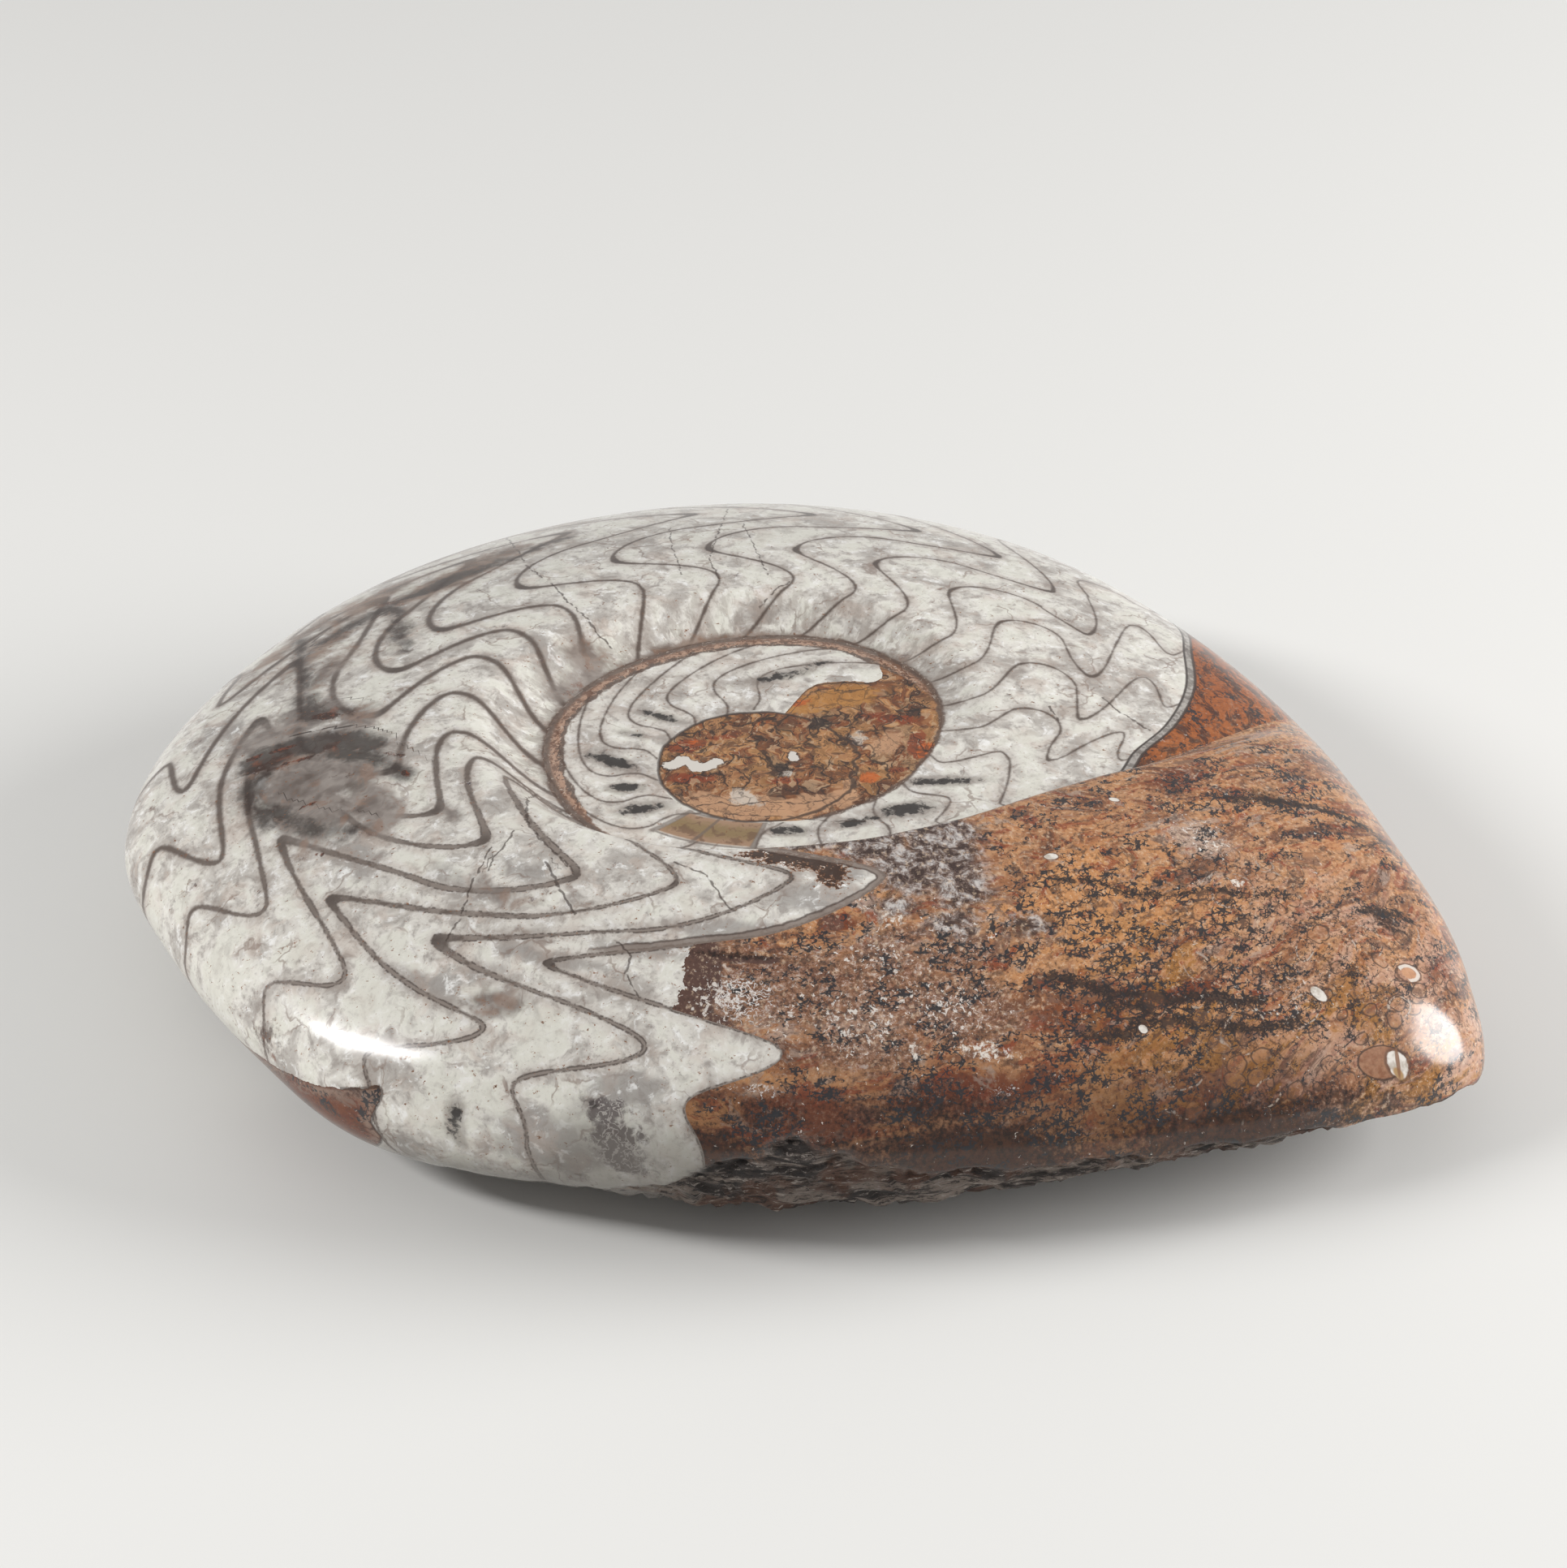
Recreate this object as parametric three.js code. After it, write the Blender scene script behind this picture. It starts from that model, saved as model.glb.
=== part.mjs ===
// Goniatite fossil: one large coiled shell, ground and polished into a low dome that lies flat on
// its underside. It is a single piece of stone, so it is one solid.
//
// Millimetres, +Z up. The origin is the foot of the coil's axis on the surface it rests on. The shell
// grows counter-clockwise seen from above and ends in the pointed corner at +X, -Y.
// Directions are in degrees about the coil's axis, from +X towards +Y.

import * as THREE from 'three';

// ---- Driving dimensions ----

// Polished floor of the umbilicus, the hollow at the centre of the coil, above the rest face.
const FLOOR_HEIGHT = 45.5;
// Radius of the flat patch that the fossil rests on.
const REST_RADIUS = 45;

// The outline, seen from above: [direction, radius of the widest line]. The back is a spiral. The
// right edge and the long front edge are ground nearly straight, and meet at the pointed corner.
const OUTLINE = [
  [0, 108.5], [20, 101], [40, 100], [65, 105], [90, 108.5], [120, 109.5],
  [150, 111], [180, 114.5], [195, 108], [210, 103], [225, 101], [245, 92],
  [270, 90.5], [290, 92.5], [310, 103], [325, 118], [335, 129], [345, 122.5],
];
// Height of that widest line: [direction, height].
const WAIST_HEIGHT = [
  [0, 19], [60, 22], [120, 24], [180, 24], [225, 22], [270, 21.5], [320, 16.5], [338, 13.5],
];

// Roundness of the section above and below the widest line. The first is how flat the middle stays,
// the second how square the edge is: [direction, exponent].
const DOME_FLATNESS = 3;
const DOME_FULLNESS = [[0, 2.5], [90, 2.8], [180, 2.3], [225, 2], [270, 2.1], [336, 1.9]];
const BOWL_FLATNESS = 2.2;
const BOWL_FULLNESS = [[0, 1.7], [90, 1.7], [180, 1.7], [225, 2.4], [270, 2.2], [318, 1.6], [334, 1.15]];

// The seam is the inner edge of the last whorl. It rings the umbilicus once, then runs out to the
// right edge: [angle along the coil, radius].
const SEAM = [
  [0, 29], [20, 31], [40, 35], [75, 37.5], [120, 38], [165, 40.5], [200, 40.5], [240, 39],
  [280, 37.5], [310, 38], [330, 41], [345, 48.5], [355, 59], [362, 69], [370, 82], [380, 100],
];
const COIL_END = 380;
// The shoulder that the last whorl raises outside its seam: [angle along the coil, height] and
// [angle along the coil, width of the wall up to it].
const SHOULDER_HEIGHT = [
  [0, 0], [45, 3], [90, 5], [135, 5.5], [180, 6], [225, 8], [270, 9.5],
  [300, 9], [320, 7.5], [335, 6], [350, 4.5], [365, 3], [380, 0],
];
const SHOULDER_WIDTH = [[0, 10], [90, 9], [180, 14], [225, 9], [270, 5.5], [300, 6], [330, 8], [380, 9]];
// How far the shoulder takes to die away outwards.
const SHOULDER_REACH = 42;

// The underside is rough rock: slow swells, as a share of the bowl's height, and their lengths.
const SWELL_SHARE = 0.12;
const SWELL_LENGTHS = [34, 27, 19];

// Mesh: steps round the coil, rings over the dome and rings under the bowl.
const STEPS_ROUND = 96;
const DOME_RINGS = 28;
const BOWL_RINGS = 14;
const REST_RINGS = 3;
// Rings over the dome lie closest on the umbilical wall: [ring, share of the outline's radius].
const DOME_SPACING = [[0, 0], [4, 0.27], [16, 0.6], [22, 0.87], [26, 0.983], [28, 1]];

const FULL_TURN = 360;

// ---- Curves ----

// A smooth curve through a few points, with the slope at each taken from its neighbours. With a
// period the curve closes on itself, and without one it stops at its end values.
function smoothCurve(points, at, period) {
  const last = points.length - 1;
  const point = (index) => {
    if (!period) return points[THREE.MathUtils.clamp(index, 0, last)];
    const laps = Math.floor(index / points.length);
    const [x, y] = points[index - laps * points.length];
    return [x + laps * period, y];
  };
  const first = points[0][0];
  const x = period
    ? first + THREE.MathUtils.euclideanModulo(at - first, period)
    : THREE.MathUtils.clamp(at, first, points[last][0]);
  let index = 0;
  while (index < last && points[index + 1][0] <= x) index += 1;
  if (!period && index === last) return points[last][1];
  const [before, start, end, after] = [-1, 0, 1, 2].map((step) => point(index + step));
  const width = end[0] - start[0];
  const share = (x - start[0]) / width;
  const startSlope = (end[1] - before[1]) / (end[0] - before[0]);
  const endSlope = (after[1] - start[1]) / (after[0] - start[0]);
  return start[1] * (1 + 2 * share) * (1 - share) ** 2
    + end[1] * share ** 2 * (3 - 2 * share)
    + width * startSlope * share * (1 - share) ** 2
    - width * endSlope * share ** 2 * (1 - share);
}

const outlineRadius = (direction) => smoothCurve(OUTLINE, direction, FULL_TURN);
const waistHeight = (direction) => smoothCurve(WAIST_HEIGHT, direction, FULL_TURN);

// ---- The polished top ----

// Height that the whorl's shoulder adds at one angle along the coil.
function shoulder(coilAngle, radius) {
  if (coilAngle > COIL_END) return 0;
  const outside = radius - smoothCurve(SEAM, coilAngle);
  const width = smoothCurve(SHOULDER_WIDTH, coilAngle);
  const beyond = Math.max(outside - width, 0) / SHOULDER_REACH;
  return smoothCurve(SHOULDER_HEIGHT, coilAngle)
    * THREE.MathUtils.smoothstep(outside, 0, width)
    * Math.exp(-(beyond ** 2));
}

function topHeight(direction, radius) {
  const share = Math.min(radius / outlineRadius(direction), 1);
  const waist = waistHeight(direction);
  const edge = 1 / smoothCurve(DOME_FULLNESS, direction, FULL_TURN);
  const dome = waist + (FLOOR_HEIGHT - waist) * (1 - share ** DOME_FLATNESS) ** edge;
  // The coil's last degrees lie over its first, so both can add to one direction.
  const raised = shoulder(direction, radius) + shoulder(direction + FULL_TURN, radius);
  return dome + raised * (1 - share ** 6);
}

// ---- The rough underside ----

function swell(x, y) {
  const [long, middle, short] = SWELL_LENGTHS.map((length) => (2 * Math.PI) / length);
  return Math.sin(x * long + 1) * Math.cos(y * middle)
    + 0.6 * Math.sin((x + y) * middle + 2)
    + 0.5 * Math.cos((x - 2 * y) * short);
}

function underHeight(direction, radius) {
  const span = outlineRadius(direction) - REST_RADIUS;
  const share = THREE.MathUtils.clamp((radius - REST_RADIUS) / span, 0, 1);
  const edge = 1 / smoothCurve(BOWL_FULLNESS, direction, FULL_TURN);
  const bowl = waistHeight(direction) * (1 - (1 - share ** BOWL_FLATNESS) ** edge);
  const turn = THREE.MathUtils.degToRad(direction);
  const uneven = swell(radius * Math.cos(turn), radius * Math.sin(turn));
  return bowl * (1 + SWELL_SHARE * uneven * (1 - share ** 4));
}

// ---- The solid ----

// Radius and height of one ring's point. Rings run from the top's centre over the edge to the
// centre of the rest face.
function ringPoint(ring, direction) {
  const edge = outlineRadius(direction);
  if (ring <= DOME_RINGS) {
    const radius = edge * smoothCurve(DOME_SPACING, ring);
    return [radius, topHeight(direction, radius)];
  }
  const under = ring - DOME_RINGS;
  if (under <= BOWL_RINGS) {
    const share = Math.cos((Math.PI / 2) * (under / BOWL_RINGS));
    const radius = REST_RADIUS + (edge - REST_RADIUS) * share;
    return [radius, underHeight(direction, radius)];
  }
  const inside = under - BOWL_RINGS;
  return [REST_RADIUS * (1 - inside / REST_RINGS), 0];
}

// A sphere's rings and steps, moved to the fossil's surface.
function fossilGeometry() {
  const rings = DOME_RINGS + BOWL_RINGS + REST_RINGS;
  const geometry = new THREE.SphereGeometry(1, STEPS_ROUND, rings);
  const position = geometry.getAttribute('position');
  for (let index = 0; index < position.count; index += 1) {
    const ring = Math.floor(index / (STEPS_ROUND + 1));
    const step = index % (STEPS_ROUND + 1);
    const direction = FULL_TURN * ((step % STEPS_ROUND) / STEPS_ROUND);
    const [radius, height] = ringPoint(ring, direction);
    const turn = THREE.MathUtils.degToRad(direction);
    position.setXYZ(index, radius * Math.cos(turn), radius * Math.sin(turn), height);
  }
  geometry.computeVertexNormals();
  return geometry;
}

const polishedLimestone = new THREE.MeshStandardMaterial({ color: 0xc4b8a8, roughness: 0.3, metalness: 0 });

const fossil = new THREE.Mesh(fossilGeometry(), polishedLimestone);
fossil.name = 'goniatite_fossil';

const part = new THREE.Group();
part.add(fossil);

export default part;
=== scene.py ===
"""Looks of the goniatite fossil: its fine surface, its markings, the floor, the lights and the camera.

Shape and markings are worked out in millimetres and degrees. A direction is an angle about the coil's
axis, from +X towards +Y. A coil angle runs on with the coil: the outer whorl's is its direction, the
whorl inside it is 360 degrees less, and the end of the last whorl, over the first, 360 degrees more.
"""

import math

import bpy
import numpy as np
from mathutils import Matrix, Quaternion, Vector, kdtree, noise


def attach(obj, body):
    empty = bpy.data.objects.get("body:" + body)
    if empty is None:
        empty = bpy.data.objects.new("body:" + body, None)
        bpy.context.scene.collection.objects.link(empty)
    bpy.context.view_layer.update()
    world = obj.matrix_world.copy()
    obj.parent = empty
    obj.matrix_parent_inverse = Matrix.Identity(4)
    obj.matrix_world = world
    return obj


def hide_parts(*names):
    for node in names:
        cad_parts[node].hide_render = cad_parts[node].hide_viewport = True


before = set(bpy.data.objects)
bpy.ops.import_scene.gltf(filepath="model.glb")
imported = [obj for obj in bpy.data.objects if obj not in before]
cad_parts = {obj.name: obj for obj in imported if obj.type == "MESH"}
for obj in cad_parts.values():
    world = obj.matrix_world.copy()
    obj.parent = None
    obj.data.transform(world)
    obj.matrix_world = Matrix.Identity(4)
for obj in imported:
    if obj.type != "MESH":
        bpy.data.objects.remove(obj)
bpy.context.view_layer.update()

MM = 0.001
FULL_TURN = 360.0
FOSSIL_NODE = "goniatite_fossil"
CALCITE_IOR = 1.55

# ---- The fossil's form, as in the CAD model ----

FLOOR_HEIGHT = 45.5
REST_RADIUS = 45.0
OUTLINE = [
    (0, 108.5), (20, 101), (40, 100), (65, 105), (90, 108.5), (120, 109.5),
    (150, 111), (180, 114.5), (195, 108), (210, 103), (225, 101), (245, 92),
    (270, 90.5), (290, 92.5), (310, 103), (325, 118), (335, 129), (345, 122.5),
]
WAIST_HEIGHT = [(0, 19), (60, 22), (120, 24), (180, 24), (225, 22), (270, 21.5), (320, 16.5), (338, 13.5)]
DOME_FLATNESS = 3.0
DOME_FULLNESS = [(0, 2.5), (90, 2.8), (180, 2.3), (225, 2.0), (270, 2.1), (336, 1.9)]
BOWL_FLATNESS = 2.2
BOWL_FULLNESS = [(0, 1.7), (90, 1.7), (180, 1.7), (225, 2.4), (270, 2.2), (318, 1.6), (334, 1.15)]
COIL_END = 380.0
SHOULDER_HEIGHT = [
    (0, 0), (45, 3), (90, 5), (135, 5.5), (180, 6), (225, 8), (270, 9.5),
    (300, 9), (320, 7.5), (335, 6), (350, 4.5), (365, 3), (380, 0),
]
SHOULDER_WIDTH = [(0, 10), (90, 9), (180, 14), (225, 9), (270, 5.5), (300, 6), (330, 8), (380, 9)]
SHOULDER_REACH = 42.0

# Inner edge of the coil, from the heart of the umbilicus to where the last whorl runs off the right
# edge: (coil angle, radius). From 0 on it is the seam of the last whorl.
COIL_EDGE = [
    (-300, 12.5), (-260, 13), (-230, 13.8), (-205, 16.5), (-170, 21.3), (-140, 24), (-120, 24), (-90, 23),
    (-75, 22.6), (-60, 22.3), (-40, 22.9), (-15, 24.6), (5, 27.5), (25, 31.3), (40, 34.4), (60, 36.3),
    (75, 37.5), (120, 38), (165, 40.5), (200, 40.5), (240, 39), (280, 37.5), (310, 38), (330, 41),
    (345, 48.5), (355, 59), (362, 69), (370, 82), (380, 100), (395, 125), (420, 160),
]
# The heart of the umbilicus: a round patch, and beside it a fill that reaches the seam on the right
# and, further round, this far out: (direction, radius).
HEART_CENTRE = (-3.6, -5.6, 0.0)
HEART_RADIUS = 17.2
FILL_EDGE = [
    (-75, 40), (49, 40), (50.5, 36), (51.5, 30), (54, 27), (59, 25.8), (66, 24), (72, 22.3), (76, 19.5),
    (79, 16), (86, 10),
]
# Outer edge of the first, white part of the last whorl, beside its brown end: (coil angle, radius).
VENTER_EDGE = [(-60, 46), (0, 62.5), (10, 70.5), (20, 78.5), (30, 86), (38, 94.5), (46, 100.2), (60, 112)]
# From this coil angle on the whorl shows as far as the outline.
VENTER_END = 46
# Where the coil angle starts to count: directions run from here once round.
FIRST_DIRECTION = -75.0


def curve(points, at, period=None):
    """A smooth curve through a few points. With a period it closes on itself."""
    keys = np.array(points, float)
    at = np.asarray(at, float)
    if period:
        keys = np.vstack([keys[-2:] - [period, 0], keys, keys[:2] + [period, 0]])
        at = np.mod(at - keys[2, 0], period) + keys[2, 0]
    else:
        keys = np.vstack([2 * keys[0] - keys[1], keys, 2 * keys[-1] - keys[-2]])
        at = np.clip(at, keys[1, 0], keys[-2, 0])
    place = np.clip(np.searchsorted(keys[:, 0], at, side="right") - 1, 1, len(keys) - 3)
    before, start, end, after = (keys[place + step] for step in (-1, 0, 1, 2))
    width = end[..., 0] - start[..., 0]
    share = (at - start[..., 0]) / width
    start_slope = (end[..., 1] - before[..., 1]) / (end[..., 0] - before[..., 0])
    end_slope = (after[..., 1] - start[..., 1]) / (after[..., 0] - start[..., 0])
    return (
        start[..., 1] * (1 + 2 * share) * (1 - share) ** 2
        + end[..., 1] * share**2 * (3 - 2 * share)
        + width * start_slope * share * (1 - share) ** 2
        - width * end_slope * share**2 * (1 - share)
    )


def ease(share):
    share = np.clip(share, 0, 1)
    return share * share * (3 - 2 * share)


def outline_radius(direction):
    return curve(OUTLINE, direction, FULL_TURN)


def waist_height(direction):
    return curve(WAIST_HEIGHT, direction, FULL_TURN)


def shoulder(coil, radius):
    """Height that the whorl's shoulder adds at one coil angle."""
    outside = radius - curve(COIL_EDGE, coil)
    width = curve(SHOULDER_WIDTH, coil)
    beyond = np.maximum(outside - width, 0) / SHOULDER_REACH
    height = curve(SHOULDER_HEIGHT, coil) * ease(outside / width) * np.exp(-(beyond**2))
    return np.where(coil <= COIL_END, height, 0)


def dome_height(direction, radius):
    """The polished top without the whorl's shoulder."""
    share = np.clip(radius / outline_radius(direction), 0, 1)
    waist = waist_height(direction)
    fullness = curve(DOME_FULLNESS, direction, FULL_TURN)
    return waist + (FLOOR_HEIGHT - waist) * (1 - share**DOME_FLATNESS) ** (1 / fullness)


def top_height(direction, radius):
    around = np.mod(direction, FULL_TURN)
    share = np.clip(radius / outline_radius(direction), 0, 1)
    raised = shoulder(around, radius) + shoulder(around + FULL_TURN, radius)
    return dome_height(direction, radius) + raised * (1 - share**6)


def under_height(direction, radius):
    span = outline_radius(direction) - REST_RADIUS
    share = np.clip((radius - REST_RADIUS) / span, 0, 1)
    fullness = curve(BOWL_FULLNESS, direction, FULL_TURN)
    return waist_height(direction) * (1 - (1 - share**BOWL_FLATNESS) ** (1 / fullness))


# ---- Places on the coil ----


def from_first(direction):
    """The same direction, counted from FIRST_DIRECTION on."""
    return np.mod(direction - FIRST_DIRECTION, FULL_TURN) + FIRST_DIRECTION


def inner_edge(coil):
    return curve(COIL_EDGE, coil)


def outer_edge(coil):
    """Outer edge of the whorl as far as it shows: the next whorl's seam, its own venter or the outline."""
    venter = np.minimum(curve(VENTER_EDGE, coil), outline_radius(coil))
    covered = inner_edge(coil + FULL_TURN)
    beyond_cover = np.where(coil < VENTER_END, venter, outline_radius(coil))
    return np.where(coil < VENTER_EDGE[0][0], covered, beyond_cover)


def coil_place(direction, radius):
    """Coil angle, and share across the whorl from its inner to its outer edge."""
    first = from_first(direction)
    coil = first - FULL_TURN
    for lap in (0, FULL_TURN):
        coil = np.where(radius >= inner_edge(first + lap), first + lap, coil)
    inner = inner_edge(coil)
    return coil, (radius - inner) / (outer_edge(coil) - inner)


def upright(direction, radius, height):
    turn = np.radians(direction)
    return np.stack([radius * np.cos(turn), radius * np.sin(turn), height + 0 * radius], -1)


def place_on_whorl(coil, across):
    """The point at one coil angle and share across. Past 1 it goes down the side below the waist."""
    inner = inner_edge(coil)
    outer = outer_edge(coil)
    top_radius = inner + (outer - inner) * np.minimum(across, 1)
    top = upright(coil, top_radius, top_height(coil, top_radius))
    down = np.cos(np.clip(across - 1, 0, 1) * math.pi / 2)
    side_radius = REST_RADIUS + (outer - REST_RADIUS) * down
    side = upright(coil, side_radius, under_height(coil, side_radius))
    return np.where((across > 1)[..., None], side, top)


# ---- Sutures: the wavy walls between the chambers ----

# Coil angle of the deep lobe's tip on each suture of the last whorl. The last one ends the white
# chambers.
LOBE_TIPS = [
    -3, 11.3, 24.3, 36.2, 49, 60.3, 72.3, 85.8, 100.3, 115.9,
    128.3, 141, 157, 170.3, 180.5, 195, 207.8, 224, 238.5,
]
# How a suture's bends shift as the shell grows: (coil angle of its lobe tip, value). Places across
# are shares of the whorl's width, leads are degrees ahead of the lobe's tip.
FIRST_BEND = [
    (-3, 0.16), (36, 0.145), (72, 0.18), (110, 0.235), (141, 0.245), (170, 0.21), (180, 0.173), (195, 0.128),
    (208, 0.02), (224, 0.105), (238, 0.085),
]
SADDLE = [
    (-3, 0.30), (36, 0.345), (72, 0.385), (116, 0.43), (157, 0.38), (180, 0.33), (195, 0.32), (208, 0.28),
    (224, 0.235), (238, 0.262),
]
LOBE = [
    (-3, 0.58), (49, 0.61), (60, 0.67), (116, 0.73), (157, 0.75), (180, 0.68), (208, 0.705), (224, 0.63),
    (238, 0.615),
]
OUTER_SADDLE = [(-3, 0.80), (36, 0.78), (49, 0.87), (128, 0.88), (157, 0.85), (208, 0.815), (238, 0.79)]
OUTER_LOBE = [(-3, 0.92), (157, 0.92), (180, 0.945), (238, 0.925)]
LIMB_SHARE = [
    (-3, 0.15), (11, 0.22), (24, 0.36), (60, 0.38), (116, 0.45), (180, 0.42), (208, 0.48), (224, 0.4),
    (238, 0.42),
]
# How round a saddle's tip is, and how far its outer limb swings back.
SADDLE_ROUNDNESS = [(-3, 1.1), (170, 1.1), (195, 0.45), (238, 0.45)]
LIMB_SWING = [(-3, 0.75), (170, 0.75), (195, 0.5), (238, 0.5)]
# How round a lobe's tip is, and how much thicker and darker the wall is there.
LOBE_ROUNDNESS = [(-3, 1.2), (30, 1.1), (49, 0.7), (72, 0.4), (238, 0.4)]
TIP_WEIGHT = [(-3, 0.3), (30, 0.4), (49, 0.8), (72, 1), (238, 1)]
# How far the first bend is drawn out into a straight limb.
STRAIGHTENED = [(-3, 0), (180, 0), (195, 0.9), (208, 1), (238, 1)]
SADDLE_LEAD = [
    (-3, 19.5), (36, 22.3), (72, 29), (116, 33.3), (170, 33.5), (180, 35), (195, 39.5), (208, 43.8),
    (224, 48.5), (238, 51.5),
]
FIRST_BEND_LEAD = [
    (-3, 13.5), (36, 11.5), (60, 13.5), (100, 17.5), (128, 17.5), (157, 12), (180, 11.5), (195, 3),
    (208, 9), (224, 20), (238, 27),
]
SEAM_LEAD = [(-3, 1.5), (36, 5.3), (72, 12.5), (128, 13), (157, 18), (238, 14)]
OUTER_SADDLE_LEAD = [(-3, 10.5), (49, 15.5), (116, 20), (141, 23), (195, 23), (208, 28), (238, 32)]
OUTER_LOBE_LEAD = [
    (-3, 2), (24, 5), (116, 14), (157, 16.3), (195, 15.7), (208, 18), (224, 17.2), (238, 21.5),
]
# Sutures of the inner whorl all have one shape: (mm out from the whorl's inner edge, lead).
INNER_TIPS = [-259, -238, -216, -197, -180, -163, -148, -132, -115.5, -97, -76, -52]
INNER_SHAPE = [
    (0, 9), (2.5, 2), (5, 0), (8, -0.5), (11, -4), (13, -10), (15, -19), (17, -28), (20, -40), (24, -54),
]
# Two sutures between the inner whorl and the last one: (mm out, coil angle).
LINKING_SUTURES = [
    [(0, -27), (3.1, -30.5), (8.4, -27.7), (10, -29), (11, -35), (11.6, -40)],
    [(0, -4), (3.1, -8.5), (11.3, -0.5), (13.8, -4), (15.1, -10), (16.4, -18), (17.3, -24)],
]
SUTURE_STEPS = 80


def bend(start, start_pull, end, end_pull):
    """A cubic from start to end that leaves and arrives along the two pulls."""
    s = np.linspace(0, 1, SUTURE_STEPS)[:, None]
    return (
        (2 * s**3 - 3 * s**2 + 1) * start
        + (s**3 - 2 * s**2 + s) * start_pull
        + (-2 * s**3 + 3 * s**2) * end
        + (s**3 - s**2) * end_pull
    )


def suture(tip):
    """One suture of the last whorl as rows of (share across, coil angle), from the seam outwards."""

    def at(keys):
        return float(curve(keys, tip))

    def spot(across, lead):
        return np.array([across, tip + lead])

    def joined(start, leave, end, arrive):
        """A bend with its two pulls as (share of the way across, lead)."""
        way = end[0] - start[0]
        return bend(start, np.array([way * leave[0], leave[1]]), end, np.array([way * arrive[0], arrive[1]]))

    first_lead, saddle_lead, seam_lead = at(FIRST_BEND_LEAD), at(SADDLE_LEAD), at(SEAM_LEAD)
    outer_lobe_lead = at(OUTER_LOBE_LEAD)
    below_seam = spot(-0.3, first_lead + seam_lead * 1.5)
    seam = spot(0, first_lead + seam_lead)
    first = spot(at(FIRST_BEND), first_lead)
    saddle = spot(at(SADDLE), saddle_lead)
    lobe = spot(at(LOBE), 0)
    limb = spot(lobe[0] - (lobe[0] - saddle[0]) * at(LIMB_SHARE), saddle_lead * 0.5)
    outer_saddle = spot(at(OUTER_SADDLE), at(OUTER_SADDLE_LEAD))
    outer_lobe = spot(at(OUTER_LOBE), outer_lobe_lead)
    rim = spot(1, outer_lobe_lead + 2.5)
    side = spot(1.7, outer_lobe_lead + 6)

    swing = at(LIMB_SWING) * saddle_lead
    straight = at(STRAIGHTENED)
    slide = straight * (saddle_lead - first_lead)
    saddle_turn, lobe_turn = (at(SADDLE_ROUNDNESS), 0), (at(LOBE_ROUNDNESS), 0)
    way_in = first[0] - seam[0]
    pieces = [
        bend(below_seam, np.array([way_in, 0]), seam, np.array([way_in * 0.9, 0])),
        joined(seam, (0.9, -1.3 * seam_lead), first, (1, 0)),
        joined(first, (1.1 - 0.5 * straight, slide), saddle, (0.9 + 0.2 * straight, 0)),
        joined(saddle, saddle_turn, limb, (0.35, -swing)),
        joined(limb, (0.35, -0.8 * swing), lobe, lobe_turn),
        joined(lobe, lobe_turn, outer_saddle, (1.2, 0)),
        joined(outer_saddle, (1.3, 0), outer_lobe, (1, 0)),
        joined(outer_lobe, (1, 0), rim, (1, 1.5)),
        joined(rim, (0.2, 1), side, (1, 2)),
    ]
    return np.concatenate(pieces)


def inner_sutures():
    """Sutures of the inner whorl as rows of (mm out from the inner edge, coil angle)."""
    out = np.linspace(-3, 22, 3 * SUTURE_STEPS)
    lines = [np.stack([out, tip + curve(INNER_SHAPE, out)], -1) for tip in INNER_TIPS]
    return lines + [np.stack([out, curve(keys, out)], -1) for keys in LINKING_SUTURES]


def side_of(line, out, coil):
    """True past the line, for a line with one coil angle at each place across."""
    order = np.argsort(line[:, 0])
    return coil > np.interp(out, line[order, 0], line[order, 1])


def nearest(points, line_points):
    """Distance from each point to the nearest of many points along the lines."""
    tree = kdtree.KDTree(len(line_points))
    for index, point in enumerate(line_points):
        tree.insert(point, index)
    tree.balance()
    return np.array([tree.find(point)[2] for point in points])


def dense(points, step=0.15):
    """Points added between neighbours so that none is further than a step from the next."""
    gaps = np.linalg.norm(np.diff(points, axis=0), axis=1)
    along = np.concatenate([[0], np.cumsum(gaps)])
    at = np.linspace(0, along[-1], int(along[-1] / step) + 2)
    return np.stack([np.interp(at, along, points[:, axis]) for axis in range(3)], -1)


def suture_distances(points, direction, radius, across_side):
    """Signed distances to the last whorl's sutures and to the last of them: two arrays.

    The sign changes from chamber to chamber, so that the line itself is where it crosses zero.
    """
    coil = np.where(from_first(direction) < -55, from_first(direction) + FULL_TURN, from_first(direction))
    inner = inner_edge(coil)
    across = np.where(across_side > 1, across_side, (radius - inner) / (outer_edge(coil) - inner))
    lines = [suture(tip) for tip in LOBE_TIPS]
    spots = [dense(place_on_whorl(line[:, 1], line[:, 0])) for line in lines]
    passed = sum(side_of(line, across, coil).astype(int) for line in lines)
    sign = np.where(passed % 2 == 0, 1, -1)
    last_sign = np.where(passed == len(lines), 1, -1)
    return sign * nearest(points, np.concatenate(spots)), last_sign * nearest(points, spots[-1])


def inner_suture_distance(points, direction, radius):
    """Signed distance to the sutures of the inner whorl and of its way out to the last one."""
    coil = np.where(from_first(direction) < 60, from_first(direction), from_first(direction) - FULL_TURN)
    out = radius - inner_edge(coil)
    lines = inner_sutures()
    passed = sum(side_of(line, out, coil).astype(int) for line in lines)
    spots = []
    for line in lines:
        line_radius = inner_edge(line[:, 1]) + line[:, 0]
        spots.append(dense(upright(line[:, 1], line_radius, top_height(line[:, 1], line_radius))))
    return np.where(passed % 2 == 0, 1, -1) * nearest(points, np.concatenate(spots))


# ---- The fine surface ----

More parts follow.
